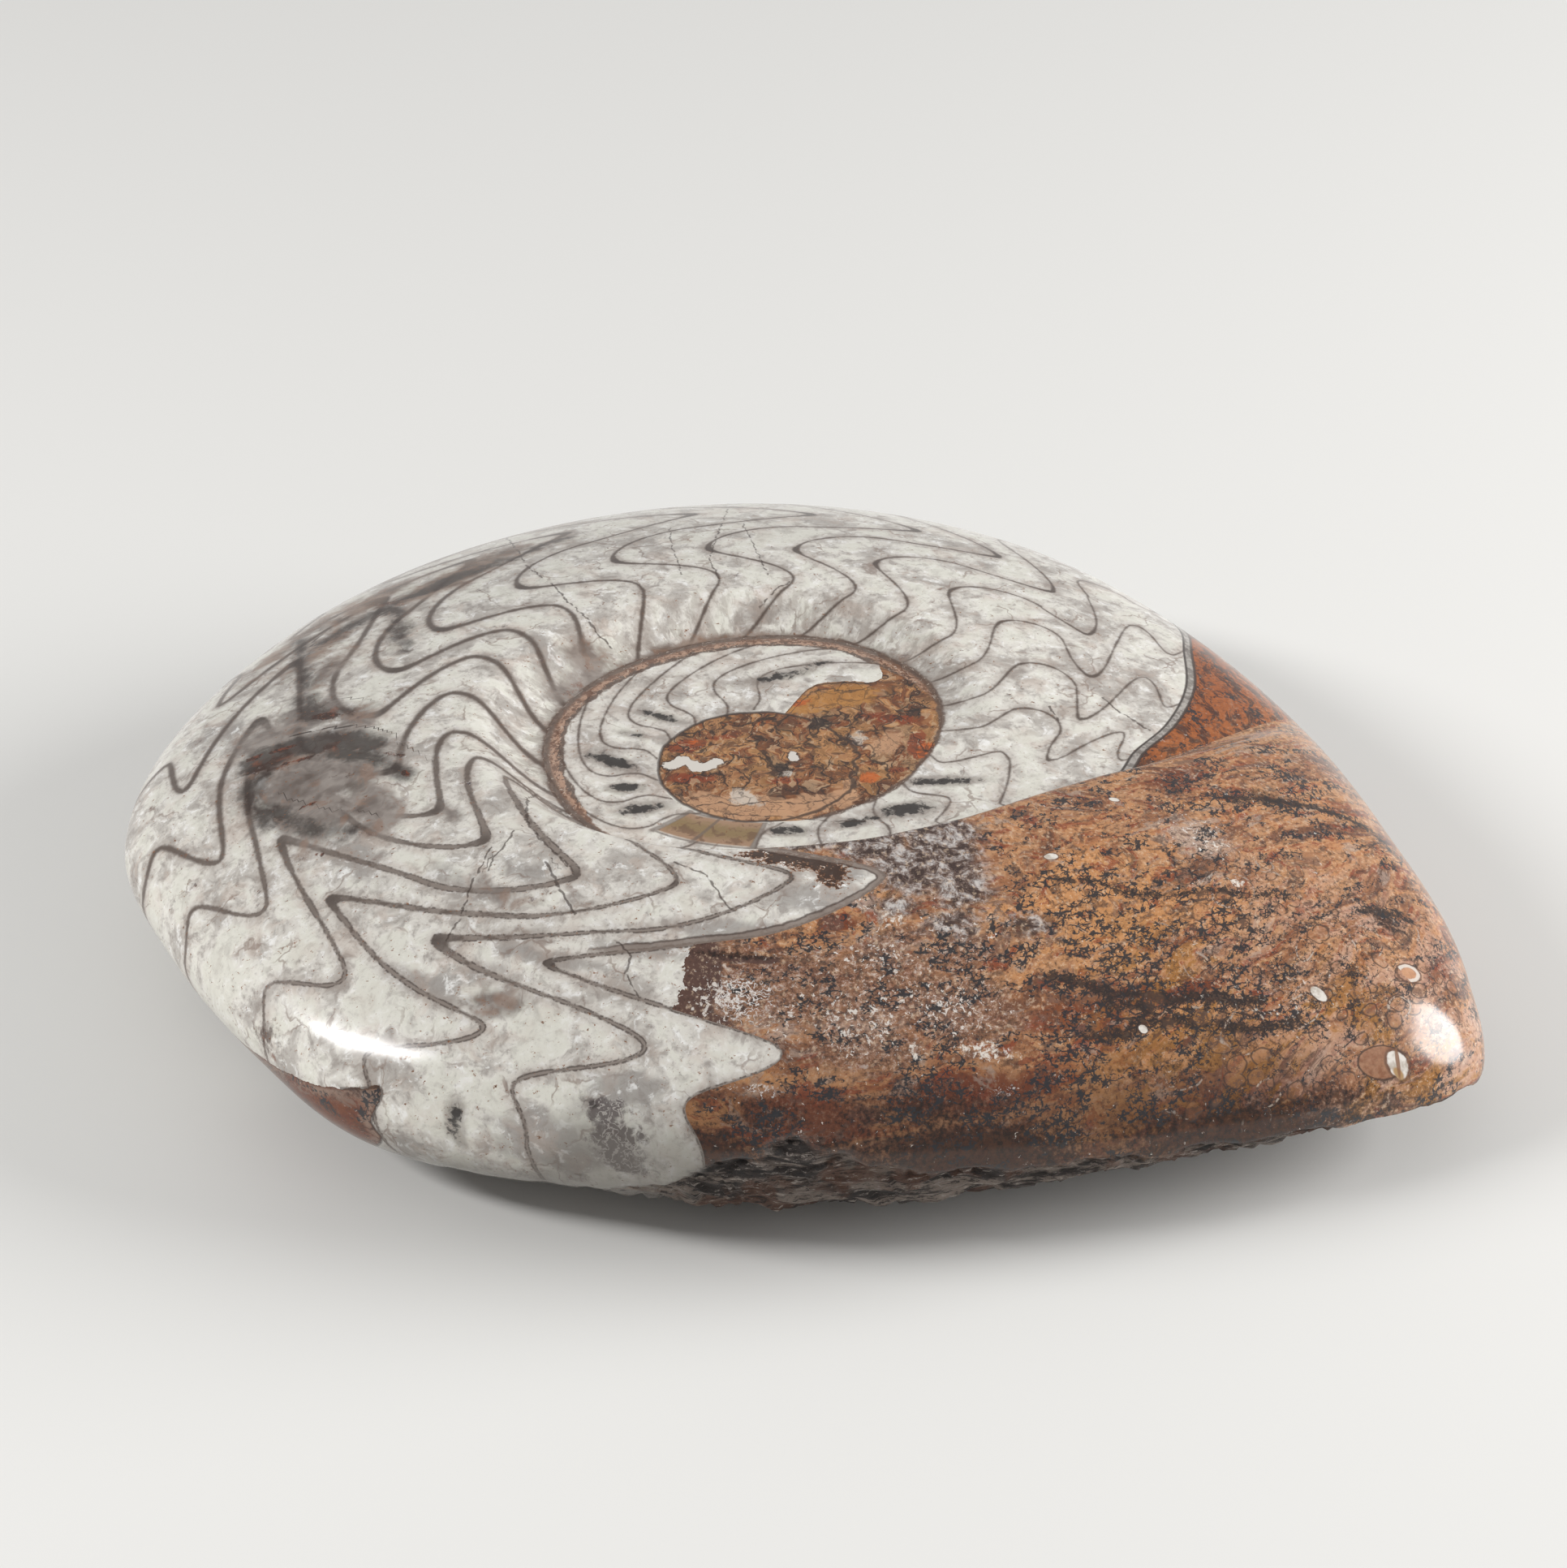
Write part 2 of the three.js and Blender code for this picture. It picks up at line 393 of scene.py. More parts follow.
INNER_RADIUS = 44.2
INNER_RINGS = 68
HEART_RINGS = 20
TOP_RINGS = 95
UNDER_RINGS = 33
FINE_UNDER_RINGS = 15
REST_RINGS = 5
COLUMNS = 640

# Height up to which the polish has not reached and the rock is rough: (direction, height).
ROUGH_HEIGHT = [
    (0, 11), (60, 12), (120, 12), (180, 10), (215, 8), (230, 10), (243, 10.5), (250, 12.5), (256, 15.5),
    (262, 21), (269, 25.7), (274, 25.4), (283, 22), (290, 20), (302, 18.5), (315, 16.5), (326, 14.3),
    (338, 11.8),
]


def directions(columns):
    return np.arange(columns) * FULL_TURN / columns


def ring(columns, radius, height, side=0.0):
    """One ring of points: direction, radius, height and how far down the side it is, 0 to 1."""
    direction = directions(columns)
    radius = radius + np.zeros(columns)
    return direction, radius, height(direction, radius), np.full(columns, side)


def top_radii():
    """Radii of the outer rings on top, evenly spaced along the dome in each direction."""
    direction = directions(COLUMNS)
    share = 1 - (1 - np.linspace(0, 1, 400)) ** 2.2
    radius = INNER_RADIUS + (outline_radius(direction)[:, None] - INNER_RADIUS) * share
    height = dome_height(direction[:, None], radius)
    gaps = np.hypot(np.diff(radius, axis=1), np.diff(height, axis=1))
    along = np.concatenate([np.zeros((COLUMNS, 1)), np.cumsum(gaps, axis=1)], axis=1)
    wanted = np.linspace(0, 1, TOP_RINGS + 1)[1:]
    rows = [np.interp(wanted * a[-1], a, r) for a, r in zip(along, radius)]
    return np.array(rows).T


def fossil_rings():
    """All rings from the top's centre to the rest face's centre."""
    rings = []
    for step in range(1, INNER_RINGS + 1):
        columns = COLUMNS // 4 if step <= HEART_RINGS else COLUMNS // 2
        rings.append(ring(columns, INNER_RADIUS * step / INNER_RINGS, top_height))
    rings += [ring(COLUMNS, radii, top_height) for radii in top_radii()]
    for step in range(1, UNDER_RINGS + 1):
        down = step / UNDER_RINGS
        columns = COLUMNS if step <= FINE_UNDER_RINGS else COLUMNS // 2
        span = outline_radius(directions(columns)) - REST_RADIUS
        rings.append(ring(columns, REST_RADIUS + span * math.cos(down * math.pi / 2), under_height, down))
    for step in range(1, REST_RINGS + 1):
        share = 1 - step / (REST_RINGS + 1)
        rings.append(ring(COLUMNS // 4, REST_RADIUS * share, under_height, 1.0))
    return rings


def stitch(first, first_count, second, second_count):
    """Faces between two rings, where one may have twice as many points as the other."""
    faces = []
    for i in range(min(first_count, second_count)):
        j = (i + 1) % min(first_count, second_count)
        if first_count == second_count:
            faces.append((first + i, second + i, second + j, first + j))
        elif first_count < second_count:
            left, middle, right = (second + (2 * i + k) % second_count for k in range(3))
            faces += [(first + i, left, middle), (first + i, middle, first + j), (first + j, middle, right)]
        else:
            left, middle, right = (first + (2 * i + k) % first_count for k in range(3))
            faces += [(left, second + i, middle), (middle, second + i, second + j)]
            faces.append((middle, second + j, right))
    return faces


def fossil_faces(counts):
    """Faces of the closed surface over rings of these counts, with a point at each end."""
    starts = np.concatenate([[0], np.cumsum(counts)]).astype(int)
    top_centre, rest_centre = int(starts[-1]), int(starts[-1]) + 1
    faces = [(top_centre, i, (i + 1) % counts[0]) for i in range(counts[0])]
    for k in range(len(counts) - 1):
        faces += stitch(int(starts[k]), counts[k], int(starts[k + 1]), counts[k + 1])
    last = int(starts[-2])
    faces += [(rest_centre, last + (i + 1) % counts[-1], last + i) for i in range(counts[-1])]
    return faces


def crag(point, size, octaves):
    """Broken rock: sharp ridges between hollows, about -1 to 1."""
    return noise.hetero_terrain(Vector(point) / size, 0.9, 2.1, octaves, 0.2) - 1


def ledge(point):
    """Broken layers one above the other, each proud of the next by up to a millimetre."""
    level = point[2] / 3.2 + noise.noise(Vector(point) / 9) * 2.2
    return (level % 1) * 1.1


def roughen(points, normals, direction):
    """Points moved in and out where the rock is rough, and how rough each one is, 0 to 1."""
    top_of_rough = curve(ROUGH_HEIGHT, direction, FULL_TURN)
    waver = np.array([noise.noise(Vector(p) / 6) for p in points]) * 2.5
    rough = ease((top_of_rough + waver - points[:, 2]) / 1.6 + 0.5)
    broken = np.zeros(len(points))
    for index in np.flatnonzero(rough > 0.01):
        broken[index] = crag(points[index], 7, 6) * 1.2 - 1.0 + ledge(points[index])
    resting = ease((points[:, 2] - 1) / 5)
    moved = points + normals * (broken * rough * (0.25 + 0.75 * resting))[:, None]
    moved[:, 2] = np.maximum(moved[:, 2], 0)
    return moved, rough


# ---- Stains, cracks and small fossils ----

# Soft zones on the coil: (coil angle, share across, half length, half width, strength). Past a share
# of 1 they lie on the side below the waist.
COIL_STAINS = {
    "smoke": [
        (184, 0.53, 9, 0.16, 1.1), (191, 0.6, 8, 0.1, 1.0), (179, 0.6, 6, 0.08, 0.9),
        (196, 0.47, 9, 0.06, 0.8), (178, 0.45, 7, 0.06, 0.7), (172, 0.58, 5, 0.1, 0.8),
        (176, 0.66, 5, 0.08, 0.8), (135, 0.66, 9, 0.07, 0.9), (128, 0.7, 7, 0.06, 0.7),
        (141, 0.78, 9, 0.05, 0.7), (152, 0.72, 12, 0.05, 0.6), (160, 0.62, 6, 0.05, 0.6),
        (150, 0.86, 12, 0.05, 0.6), (120, 0.9, 16, 0.04, 0.6), (236, 0.75, 5, 0.05, 0.5),
        (224, 0.45, 9, 0.05, 0.4), (142, 0.06, 5, 0.06, 0.9), (150, 0.03, 10, 0.05, 0.7),
        (110, 0.0, 40, 0.035, 0.5), (60, 0.0, 25, 0.025, 0.4), (206, 0.33, 5, 0.03, 0.5),
    ],
    "chamber_rust": [
        (181, 0.5, 3.0, 0.05, 0.7), (180.5, 0.64, 3.6, 0.06, 0.95), (171.5, 0.52, 2, 0.06, 0.8),
        (183, 0.43, 3, 0.035, 0.7), (200, 0.36, 4, 0.02, 0.5), (188, 0.5, 4, 0.04, 0.4),
        (220.5, 1.05, 9, 0.05, 1.0), (214, 1.0, 5, 0.03, 0.8), (227.5, 0.99, 2.2, 0.04, 0.8),
        (249.5, 1.1, 1.6, 0.03, 1.1), (181, 0.93, 2, 0.03, 0.7), (150, 0.03, 5, 0.05, 0.9),
        (232, 0.4, 5, 0.03, 0.4), (141, 0.72, 6, 0.05, 0.7), (148, 0.7, 5, 0.06, 0.7),
        (132, 0.6, 4, 0.05, 0.6), (127, 0.75, 5, 0.04, 0.6),
    ],
    # Grey clouds in the calcite. The strokes low on the front, share across 0.9 and more at coil angles 228
    # to 253, are painted shade.
    "grey_calcite": [
        (240, 0.60, 9, 0.03, 0.9), (250, 0.53, 9, 0.035, 1.0), (262, 0.44, 9, 0.05, 1.0),
        (275, 0.31, 9, 0.06, 1.0), (282, 0.24, 6, 0.05, 0.8), (228, 0.36, 9, 0.05, 0.7),
        (218, 0.47, 9, 0.05, 0.7), (205, 0.6, 9, 0.07, 0.6), (232, 0.68, 5, 0.06, 0.7),
        (225, 0.75, 8, 0.05, 0.7), (236, 0.92, 6, 0.05, 0.35), (250, 0.97, 6, 0.08, 0.5),
        (172, 0.8, 6, 0.1, 0.6), (100, 0.04, 25, 0.06, 0.35), (150, 0.1, 14, 0.08, 0.6),
        (246, 1.02, 8, 0.07, 1.0), (228, 1.08, 9, 0.05, 0.5), (253, 0.9, 5, 0.05, 0.9),
    ],
    "chamber_soot": [
        (250, 0.94, 1.2, 0.012, 0.6), (236.3, 0.985, 0.9, 0.02, 0.75), (237, 1.02, 0.6, 0.03, 0.8),
    ],
    "lace": [(251.5, 0.945, 2.6, 0.03, 1.0), (253.5, 0.985, 3.6, 0.03, 1.0), (255, 1.02, 2.6, 0.025, 0.9)],
    "last_chamber_rust": [
        (265.5, 0.135, 5, 0.02, 1.0), (271, 0.155, 6, 0.03, 1.0), (277, 0.185, 5, 0.035, 1.0),
        (280.5, 0.225, 3.6, 0.045, 1.0), (279.5, 0.27, 2, 0.03, 0.8), (286, 0.19, 3, 0.02, 0.8),
        (290, 0.21, 3, 0.02, 0.8), (278, 0.115, 3, 0.012, 0.9), (285, 0.135, 2.5, 0.01, 0.7),
    ],
    # Dark rock. The strokes on the low front side, share across 0.9 and more at coil angles 262 to 315, are
    # painted shade.
    "dark_rock": [
        (264, 0.52, 10, 0.015, 0.7), (268, 0.93, 8, 0.07, 0.5), (285, 0.93, 14, 0.06, 0.6),
        (262, 1.0, 8, 0.05, 0.9), (275, 1.02, 12, 0.06, 0.9), (290, 1.0, 14, 0.06, 0.9),
        (315, 1.0, 16, 0.05, 0.8), (341, 0.78, 2, 0.06, 0.7), (352, 0.5, 2.5, 0.13, 0.6),
        (310, 0.9, 10, 0.04, 0.4), (24, 0.35, 8, 0.3, 0.8), (14, 0.2, 5, 0.1, 0.8),
        (34, 0.6, 5, 0.2, 0.8), (18, 0.7, 6, 0.15, 0.8), (28, 0.15, 5, 0.1, 0.7),
        (330, 0.75, 8, 0.05, 0.4),
    ],
    "dendrite_rock": [
        (310, 0.5, 9, 0.07, 1.0), (318, 0.55, 9, 0.06, 1.0), (326, 0.6, 7, 0.06, 0.9),
        (268, 0.95, 6, 0.05, 1.0), (286, 0.89, 6, 0.05, 1.0), (302, 0.85, 6, 0.06, 0.9),
        (312, 0.84, 7, 0.05, 0.8), (290, 0.97, 8, 0.04, 0.8), (318, 0.35, 6, 0.05, 0.5),
        (330, 0.45, 8, 0.08, 0.5), (318, 0.72, 9, 0.05, 0.8), (300, 0.97, 12, 0.04, 0.7),
        (280, 0.62, 6, 0.1, 0.5), (228, 1.03, 3, 0.06, 1.0), (295, 0.6, 8, 0.1, 0.6),
        (20, 0.3, 10, 0.2, 0.5), (350, 0.3, 10, 0.1, 0.3),
    ],
    "mixed_rock": [
        (263, 0.6, 5, 0.12, 1.2), (274, 0.62, 10, 0.12, 1.0), (284, 0.62, 10, 0.13, 1.0),
        (292, 0.7, 9, 0.1, 1.0), (280, 0.78, 10, 0.07, 0.8), (296, 0.55, 6, 0.08, 0.7),
        (288, 0.48, 6, 0.06, 0.6),
    ],
    "chocolate_rock": [(259, 0.6, 2.8, 0.13, 1.5), (262, 0.72, 2.5, 0.03, 0.8), (266, 0.53, 7, 0.015, 0.8)],
    "sparkle": [(265.5, 0.645, 4.0, 0.065, 1.0), (268, 0.88, 3, 0.02, 0.6), (294, 0.9, 3, 0.015, 0.5)],
    "seam_rock": [
        (301, 0.34, 6, 0.08, 0.9), (297, 0.45, 5, 0.06, 0.6), (306, 0.5, 5, 0.05, 0.6),
        (264, 0.04, 14, 0.05, 1.0), (278, 0.07, 12, 0.06, 1.0), (290, 0.12, 9, 0.1, 1.0),
        (295, 0.25, 7, 0.12, 1.0), (303, 0.2, 7, 0.16, 1.0), (309, 0.12, 6, 0.1, 0.8),
        (290, 0.38, 5, 0.05, 0.7), (299, 0.38, 6, 0.05, 0.6),
    ],
    "pale_rock": [
        (262, 0.655, 4.5, 0.07, 1.0), (270, 0.72, 5, 0.08, 0.7), (280, 0.72, 8, 0.09, 0.8),
        (291, 0.7, 8, 0.08, 0.7), (285, 0.52, 8, 0.09, 0.7), (284.5, 0.36, 3, 0.035, 1.0),
        (296, 0.45, 8, 0.08, 0.6), (338, 0.38, 5, 0.09, 0.9), (332, 0.47, 4, 0.05, 0.6),
        (268, 0.88, 5, 0.03, 0.6), (272, 0.97, 6, 0.03, 0.5), (356, 0.45, 6, 0.2, 0.3),
    ],
    "orange_rock": [
        (318, 0.5, 16, 0.16, 0.9), (320, 0.36, 12, 0.08, 0.8), (306, 0.45, 6, 0.1, 0.7),
        (318, 0.88, 14, 0.03, 0.9), (263, 0.93, 5, 0.04, 1.0), (268, 0.85, 6, 0.03, 0.7),
        (372, 0.3, 12, 0.5, 0.5), (300, 0.62, 10, 0.08, 0.4), (286, 0.33, 4, 0.02, 0.8),
        (326, 0.78, 8, 0.04, 0.6), (345, 0.3, 6, 0.15, 0.4), (318, 0.785, 6, 0.026, 1.8),
        (325, 0.84, 5, 0.02, 1.5),
    ],
    "rust_rock": [
        (220, 1.05, 12, 0.1, 0.9), (268, 0.56, 8, 0.03, 0.8), (276, 0.6, 5, 0.05, 0.6),
        (305, 0.75, 9, 0.07, 0.8), (315, 0.72, 8, 0.05, 0.8), (272, 0.93, 9, 0.06, 1.0),
        (290, 0.9, 12, 0.06, 0.8), (280, 0.42, 4, 0.03, 0.8), (322, 0.6, 8, 0.03, 0.6),
        (317, 0.72, 6, 0.02, 1.2), (350, 0.25, 8, 0.1, 0.7), (25, 0.5, 24, 0.7, 1.6),
        (340, 0.9, 8, 0.1, 0.5), (315, 0.97, 14, 0.05, 0.8),
    ],
}
# Soft blots seen from above: (x, y, half length, half width, direction of the length, strength).
BLOTS = {
    "soot": [
        (-20.6, 10.3, 4.2, 1.3, -27, 0.95), (-25, 4.5, 3.2, 1.1, -20, 0.7), (-28.7, -4, 5.4, 1.9, -30, 1.0),
        (-26.2, -12.2, 3.4, 1.4, 0, 1.0), (-23.3, -18.5, 4.6, 1.8, 12, 1.0), (1.7, -25.4, 3.6, 1.5, -5, 1.0),
        (12.3, -23.2, 3.2, 1.4, 10, 1.0), (21.5, -19, 5.4, 2.2, 15, 1.0), (28.5, -10, 6, 1.5, 5, 1.0),
        (-0.3, 23.6, 8, 1.7, 22, 0.75), (7.2, 28, 2.8, 0.9, 20, 0.8), (16, -21.5, 2, 1, 15, 0.7),
        (52, -28, 3, 1.2, 10, 0.5),
    ],
    "red_heart": [
        (-15.5, 0.5, 5, 2.6, 15, 1.0), (-15, -9.5, 4.5, 1.8, 0, 1.0), (-9, 4, 6, 2, 25, 0.7),
        (24, 1.5, 2, 5, -10, 1.0), (3, -10.5, 7, 1.4, 0, 0.6), (19, 10, 6, 2.4, -10, 0.8),
        (20, -7, 3, 1.4, 20, 0.7), (-1, 10, 5, 1.6, 0, 0.4),
    ],
    "peach_heart": [
        (-5, -18, 13, 4.4, 0, 1.1), (7, -16.5, 9, 3.6, 12, 1.0), (-13, -15, 3, 2, -30, 0.8),
        (19, 2, 3.5, 5, -20, 0.9), (14, -10, 4, 2.5, 20, 0.6),
    ],
    "ochre_heart": [
        (11, 17, 9, 4.2, 12, 1.0), (15.6, -9.4, 2.6, 2, 0, 1.0), (2, 12.5, 6, 2, 0, 0.8),
        (-2, -1, 5, 2.5, 0, 0.4),
    ],
    "orange_heart": [
        (25.5, 0, 1.6, 3.4, -10, 1.0), (15.6, -9.4, 2.4, 2.2, 0, 1.0), (-14, 2, 3, 1.4, 15, 0.7),
        (4, 15, 3, 1.2, 30, 0.7), (-3, 8, 4, 1.5, 0, 0.5),
    ],
    "dark_heart": [
        (6.7, 7.9, 2.6, 2.1, 0, 1.0), (2, -6.5, 9, 2.4, 5, 0.6), (11, 1, 1.6, 6, -15, 0.6),
        (-6, 1, 3, 1, 20, 0.6), (24, 12, 3, 2, 0, 0.6), (-5, -9, 3, 1, 0, 0.5),
    ],
    "rust_spots": [
        (-91, 2.4, 2.4, 0.9, 10, 1.0), (-86, 2.5, 3, 0.9, 5, 1.0), (-83, -2.5, 4, 0.8, -5, 0.9),
        (-63.6, -13.4, 1.6, 0.8, -60, 1.0), (-79.2, 10.3, 3.2, 1.3, -20, 1.0),
        (-80.3, -16, 2.2, 0.6, 10, 0.9), (-77.5, -29.1, 2, 0.5, -20, 0.9), (-75, -10, 3.5, 1.6, 0, 0.5),
        (-66.5, -7, 3, 0.8, -30, 0.7),
    ],
    "white_heart": [
        (-6.2, -15.8, 4, 3, 0, 0.75), (-1.5, -4, 3, 1, 0, 0.4), (2.5, -8, 2, 1.2, 0, 0.5),
        (14, 3, 2.5, 5, -10, 0.5),
    ],
    "shell_white": [
        (73.9, -29.6, 3, 1.6, 20, 0.4), (76.8, -37.8, 1.1, 0.8, 0, 1.0), (18.3, -57.2, 2.8, 2, 20, 0.5),
        (84, -58, 10, 5, 20, 0.2), (33, -76, 5, 1.4, 5, 0.6), (22, -77.5, 2.5, 1.4, 0, 0.5),
    ],
}
# Fine lines seen from above: half width in mm, then their corners.
LINES = {
    "smears": [
        (1.4, [(-90.4, -5), (-90.6, -10.5), (-89, -14.6), (-85, -18)]),
        (0.6, [(-85, -18), (-82, -20.5), (-78.4, -23.2), (-72, -26.2)]),
        (2.6, [(-90, 0.4), (-84.6, 1.6), (-79, 0.8), (-74.4, -0.4), (-70.6, -3)]),
        (1.0, [(-77, -3), (-71, -5.5), (-67, -9), (-63.4, -13.4)]),
        (0.9, [(-82, 11.5), (-78.4, 11.2), (-75, 9.5)]),
        (0.7, [(-81.9, 43.1), (-75, 50.4), (-67.2, 56), (-59.4, 61.8), (-47.8, 68.9), (-40.6, 77)]),
        (0.7, [(-70.8, 53.9), (-68.2, 41.9), (-66.6, 30.3)]),
        (0.5, [(-86.4, 47.2), (-85, 33.8), (-83.6, 22.5), (-82.6, 11.2)]),
    ],
    "cracks": [
        (0.16, [(-41.2, -15.7), (-42.5, -22), (-42.1, -32.2), (-38.6, -39), (-35, -44.3)]),
        (0.14, [(-44.1, -33.7), (-45.5, -37.3), (-47.4, -40), (-48.2, -42.8)]),
        (0.14, [(-48, -37.5), (-49.6, -41.9), (-50.6, -44.1), (-52, -49.7), (-52.6, -51.8), (-54.6, -55)]),
        (0.2, [(-38.6, -42.8), (-36.4, -48.5), (-33.5, -54.5)]),
        (0.14, [(-41, 50.7), (-38.5, 44), (-35.6, 37.8), (-32.5, 33), (-29.7, 31.1)]),
        (0.1, [(-20.3, 78), (-19.5, 64.3), (-17.5, 51.9)]),
        (0.1, [(-9.6, 91.5), (-11.5, 70), (-12.7, 58.3), (-10.8, 50)]),
        (0.12, [(-51.3, 86.8), (-45.9, 61.1), (-42.7, 53.9)]),
        (0.1, [(-6.8, 79.2), (-4, 61.9), (-2.1, 52)]),
        (0.12, [(-3.4, 42.8), (1.9, 49.3)]),
        (0.16, [(57.1, 18.3), (58.7, 15.4), (61.2, 12.8), (64.8, 9.5)]),
        (0.16, [(47.2, 13.6), (48.2, 11.5), (49, 9.6)]),
        (0.15, [(-17.2, -45.6), (-12, -49), (-9.5, -54), (-7.6, -56.6)]),
        (0.15, [(-27, -60.2), (-24, -63.4), (-25, -66), (-23, -69.8)]),
        (0.2, [(-62, -78), (-60.5, -80.5), (-61.5, -83)]),
        (0.15, [(15, -22.5), (8, -22.7), (3, -21.5), (-4, -21), (-9, -20.5)]),
        (0.14, [(-14, -18), (-10, -17), (-7, -18.2), (-2, -16.6), (4, -17.6), (9, -15.5)]),
    ],
    "veins": [
        (0.35, [(45.8, -45.1), (52.1, -43.7), (58.8, -45), (67.6, -42.7), (73.2, -40.5), (85.2, -38.1)]),
        (0.75, [(45.2, -63.1), (54, -63.8), (64.4, -62.9), (70, -61), (75.9, -61), (79.9, -59.5)]),
        (0.55, [
            (49.8, -71.5), (56.9, -69.7), (60.9, -66.7), (68.1, -65.3), (74.8, -64.9), (78.8, -64.3),
            (86.3, -61.1),
        ]),
        (0.6, [(76.8, -14.9), (86.2, -11.6), (94.5, -9.3), (101.8, -8.6), (104.4, -9.5)]),
        (0.5, [(97.7, -35.9), (102, -33), (107.2, -31.6)]),
        (0.22, [(95.1, -50.2), (95.6, -54), (94.9, -57.6), (94.1, -60.7)]),
        (0.5, [(54, -66.5), (58, -64.8), (62, -66)]),
    ],
    "shells": [
        (1.25, [(-18.6, -5.6), (-16.4, -3.6), (-13.6, -6.3), (-10.8, -4.4)]),
        (0.75, [(2.6, -3.7), (2.6, -1.6)]),
    ],
}
# Ovals seen from above: middle, half length and half width, direction of the length.
SMALL_SHELLS = [
    ((89.4, -55.9), (1.5, 0.95), -25), ((102.6, -61.6), (1.9, 1.35), 10),
    ((59.6, -68.3), (0.75, 0.6), 0), ((56.8, -21.6), (0.9, 0.6), 0), ((45.3, -39.8), (1.2, 0.7), 20),
]
# The brown wall and the ochre filling of the largest one.
SHELL_WALL = ((102.6, -61.4), (0.4, 1.6), 12)
SHELL_FILLING = ((102.7, -62.5), (1.0, 0.5), 0)
# The brown cast that the largest one lies in, and a shell that shows as an open hoop.
SHELL_CAST = ((99.8, -62.3), (4.4, 1.7), 22)
SHELL_HOOP = ((105.4, -46.3), (2.2, 1.5), 45)
# Right side of the brown pocket low on the front: (height, distance left of the middle). Its top is
# this high above the corner at the right and slopes down to the left. It ends at the left side, and
# it lies in front of y = POCKET_BACK.
POCKET_SIDE = [(12, 66.8), (17, 65.3), (19.7, 66.8), (22.8, 66.1), (26, 64.8), (28, 65.5)]
POCKET_CORNER = -66
POCKET_HEIGHT = 26.6
POCKET_SLOPE = 0.37
POCKET_LEFT = -96
POCKET_BACK = -40
# Lines further than this from a point are left out of its account. It is then given this offset.
LINE_REACH = 5.0
NO_LINE = [12.0, 12.0, 0.0]
# A distance in mm at which nothing is drawn any more.
FAR = 20.0


def layer(coil, across, strokes):
    """A soft mask from strokes on the coil."""
    value = np.zeros(len(coil))
    for at_coil, at_across, length, width, strength in strokes:
        far = ((coil - at_coil) / length) ** 2 + ((across - at_across) / width) ** 2
        value = np.maximum(value, strength * np.exp(-far))
    return value


def blots(points, marks):
    """A soft mask from blots seen from above."""
    value = np.zeros(len(points))
    for x, y, length, width, direction, strength in marks:
        turn = math.radians(direction)
        dx, dy = points[:, 0] - x, points[:, 1] - y
        along = dx * math.cos(turn) + dy * math.sin(turn)
        over = dy * math.cos(turn) - dx * math.sin(turn)
        far = (along / length) ** 2 + (over / width) ** 2
        value = np.maximum(value, strength * np.exp(-far))
    return value


def lobe_marks(coil, across):
    """How near each point is to a suture's tip, where the wall is thicker and darker."""
    strokes = []
    for tip in LOBE_TIPS:
        saddle = tip + float(curve(SADDLE_LEAD, tip))
        weight = float(curve(TIP_WEIGHT, tip))
        strokes.append((tip, float(curve(LOBE, tip)), 2.6, 0.035, weight))
        strokes.append((saddle, float(curve(SADDLE, tip)), 2.6, 0.03, 0.9 * weight))
    return layer(coil, across, strokes)


def rust_pocket(points):
    """Distance into the brown pocket low on the front of the outer whorl, in mm, below 0 outside it."""
    x, y, z = points.T
    right_side = -curve(POCKET_SIDE, z) - x
    below_top = POCKET_HEIGHT + POCKET_SLOPE * (x - POCKET_CORNER) - z
    left_side = (x - POCKET_LEFT) * 0.5
    inside = np.minimum(np.minimum(right_side, below_top), left_side)
    return np.where(y < POCKET_BACK, inside, -FAR)


def line_offsets(points, lines):
    """From each point to the nearest of the lines seen from above: x, y, and that line's half width."""
    offset = np.tile(NO_LINE, (len(points), 1))
    nearest_yet = np.full(len(points), LINE_REACH)
    for half, corners in lines:
        for start, end in zip(corners, corners[1:]):
            start, leg = np.array(start), np.array(end) - start
            share = np.clip((points[:, :2] - start) @ leg / (leg @ leg), 0, 1)
            to_line = start + share[:, None] * leg - points[:, :2]
            distance = np.linalg.norm(to_line, axis=1)
            closer = distance < nearest_yet
            nearest_yet[closer] = distance[closer]
            offset[closer, :2] = to_line[closer]
            offset[closer, 2] = half
    return offset


def fossil_mesh():
    """The fossil's fine mesh in metres, with its markings on it."""
    rings = fossil_rings()
    counts = [len(r[0]) for r in rings]
    direction, radius, height, side = (np.concatenate([r[k] for r in rings]) for k in range(4))
    direction, side = np.append(direction, [0, 0]), np.append(side, [0, 1])
    radius, height = np.append(radius, [0, 0]), np.append(height, [FLOOR_HEIGHT, 0])
    points = upright(direction, radius, height)

    mesh = bpy.data.meshes.new("goniatite")
    mesh.from_pydata(points.tolist(), [], fossil_faces(counts))
    normals = np.empty(len(points) * 3)
    mesh.vertices.foreach_get("normal", normals)
    moved, rough = roughen(points, normals.reshape(-1, 3), direction)
    mesh.vertices.foreach_set("co", (moved * MM).ravel())
    mark(mesh, points, direction, radius, side, rough)
    mesh.polygons.foreach_set("use_smooth", np.ones(len(mesh.polygons), bool))
    mesh.update()
    return mesh


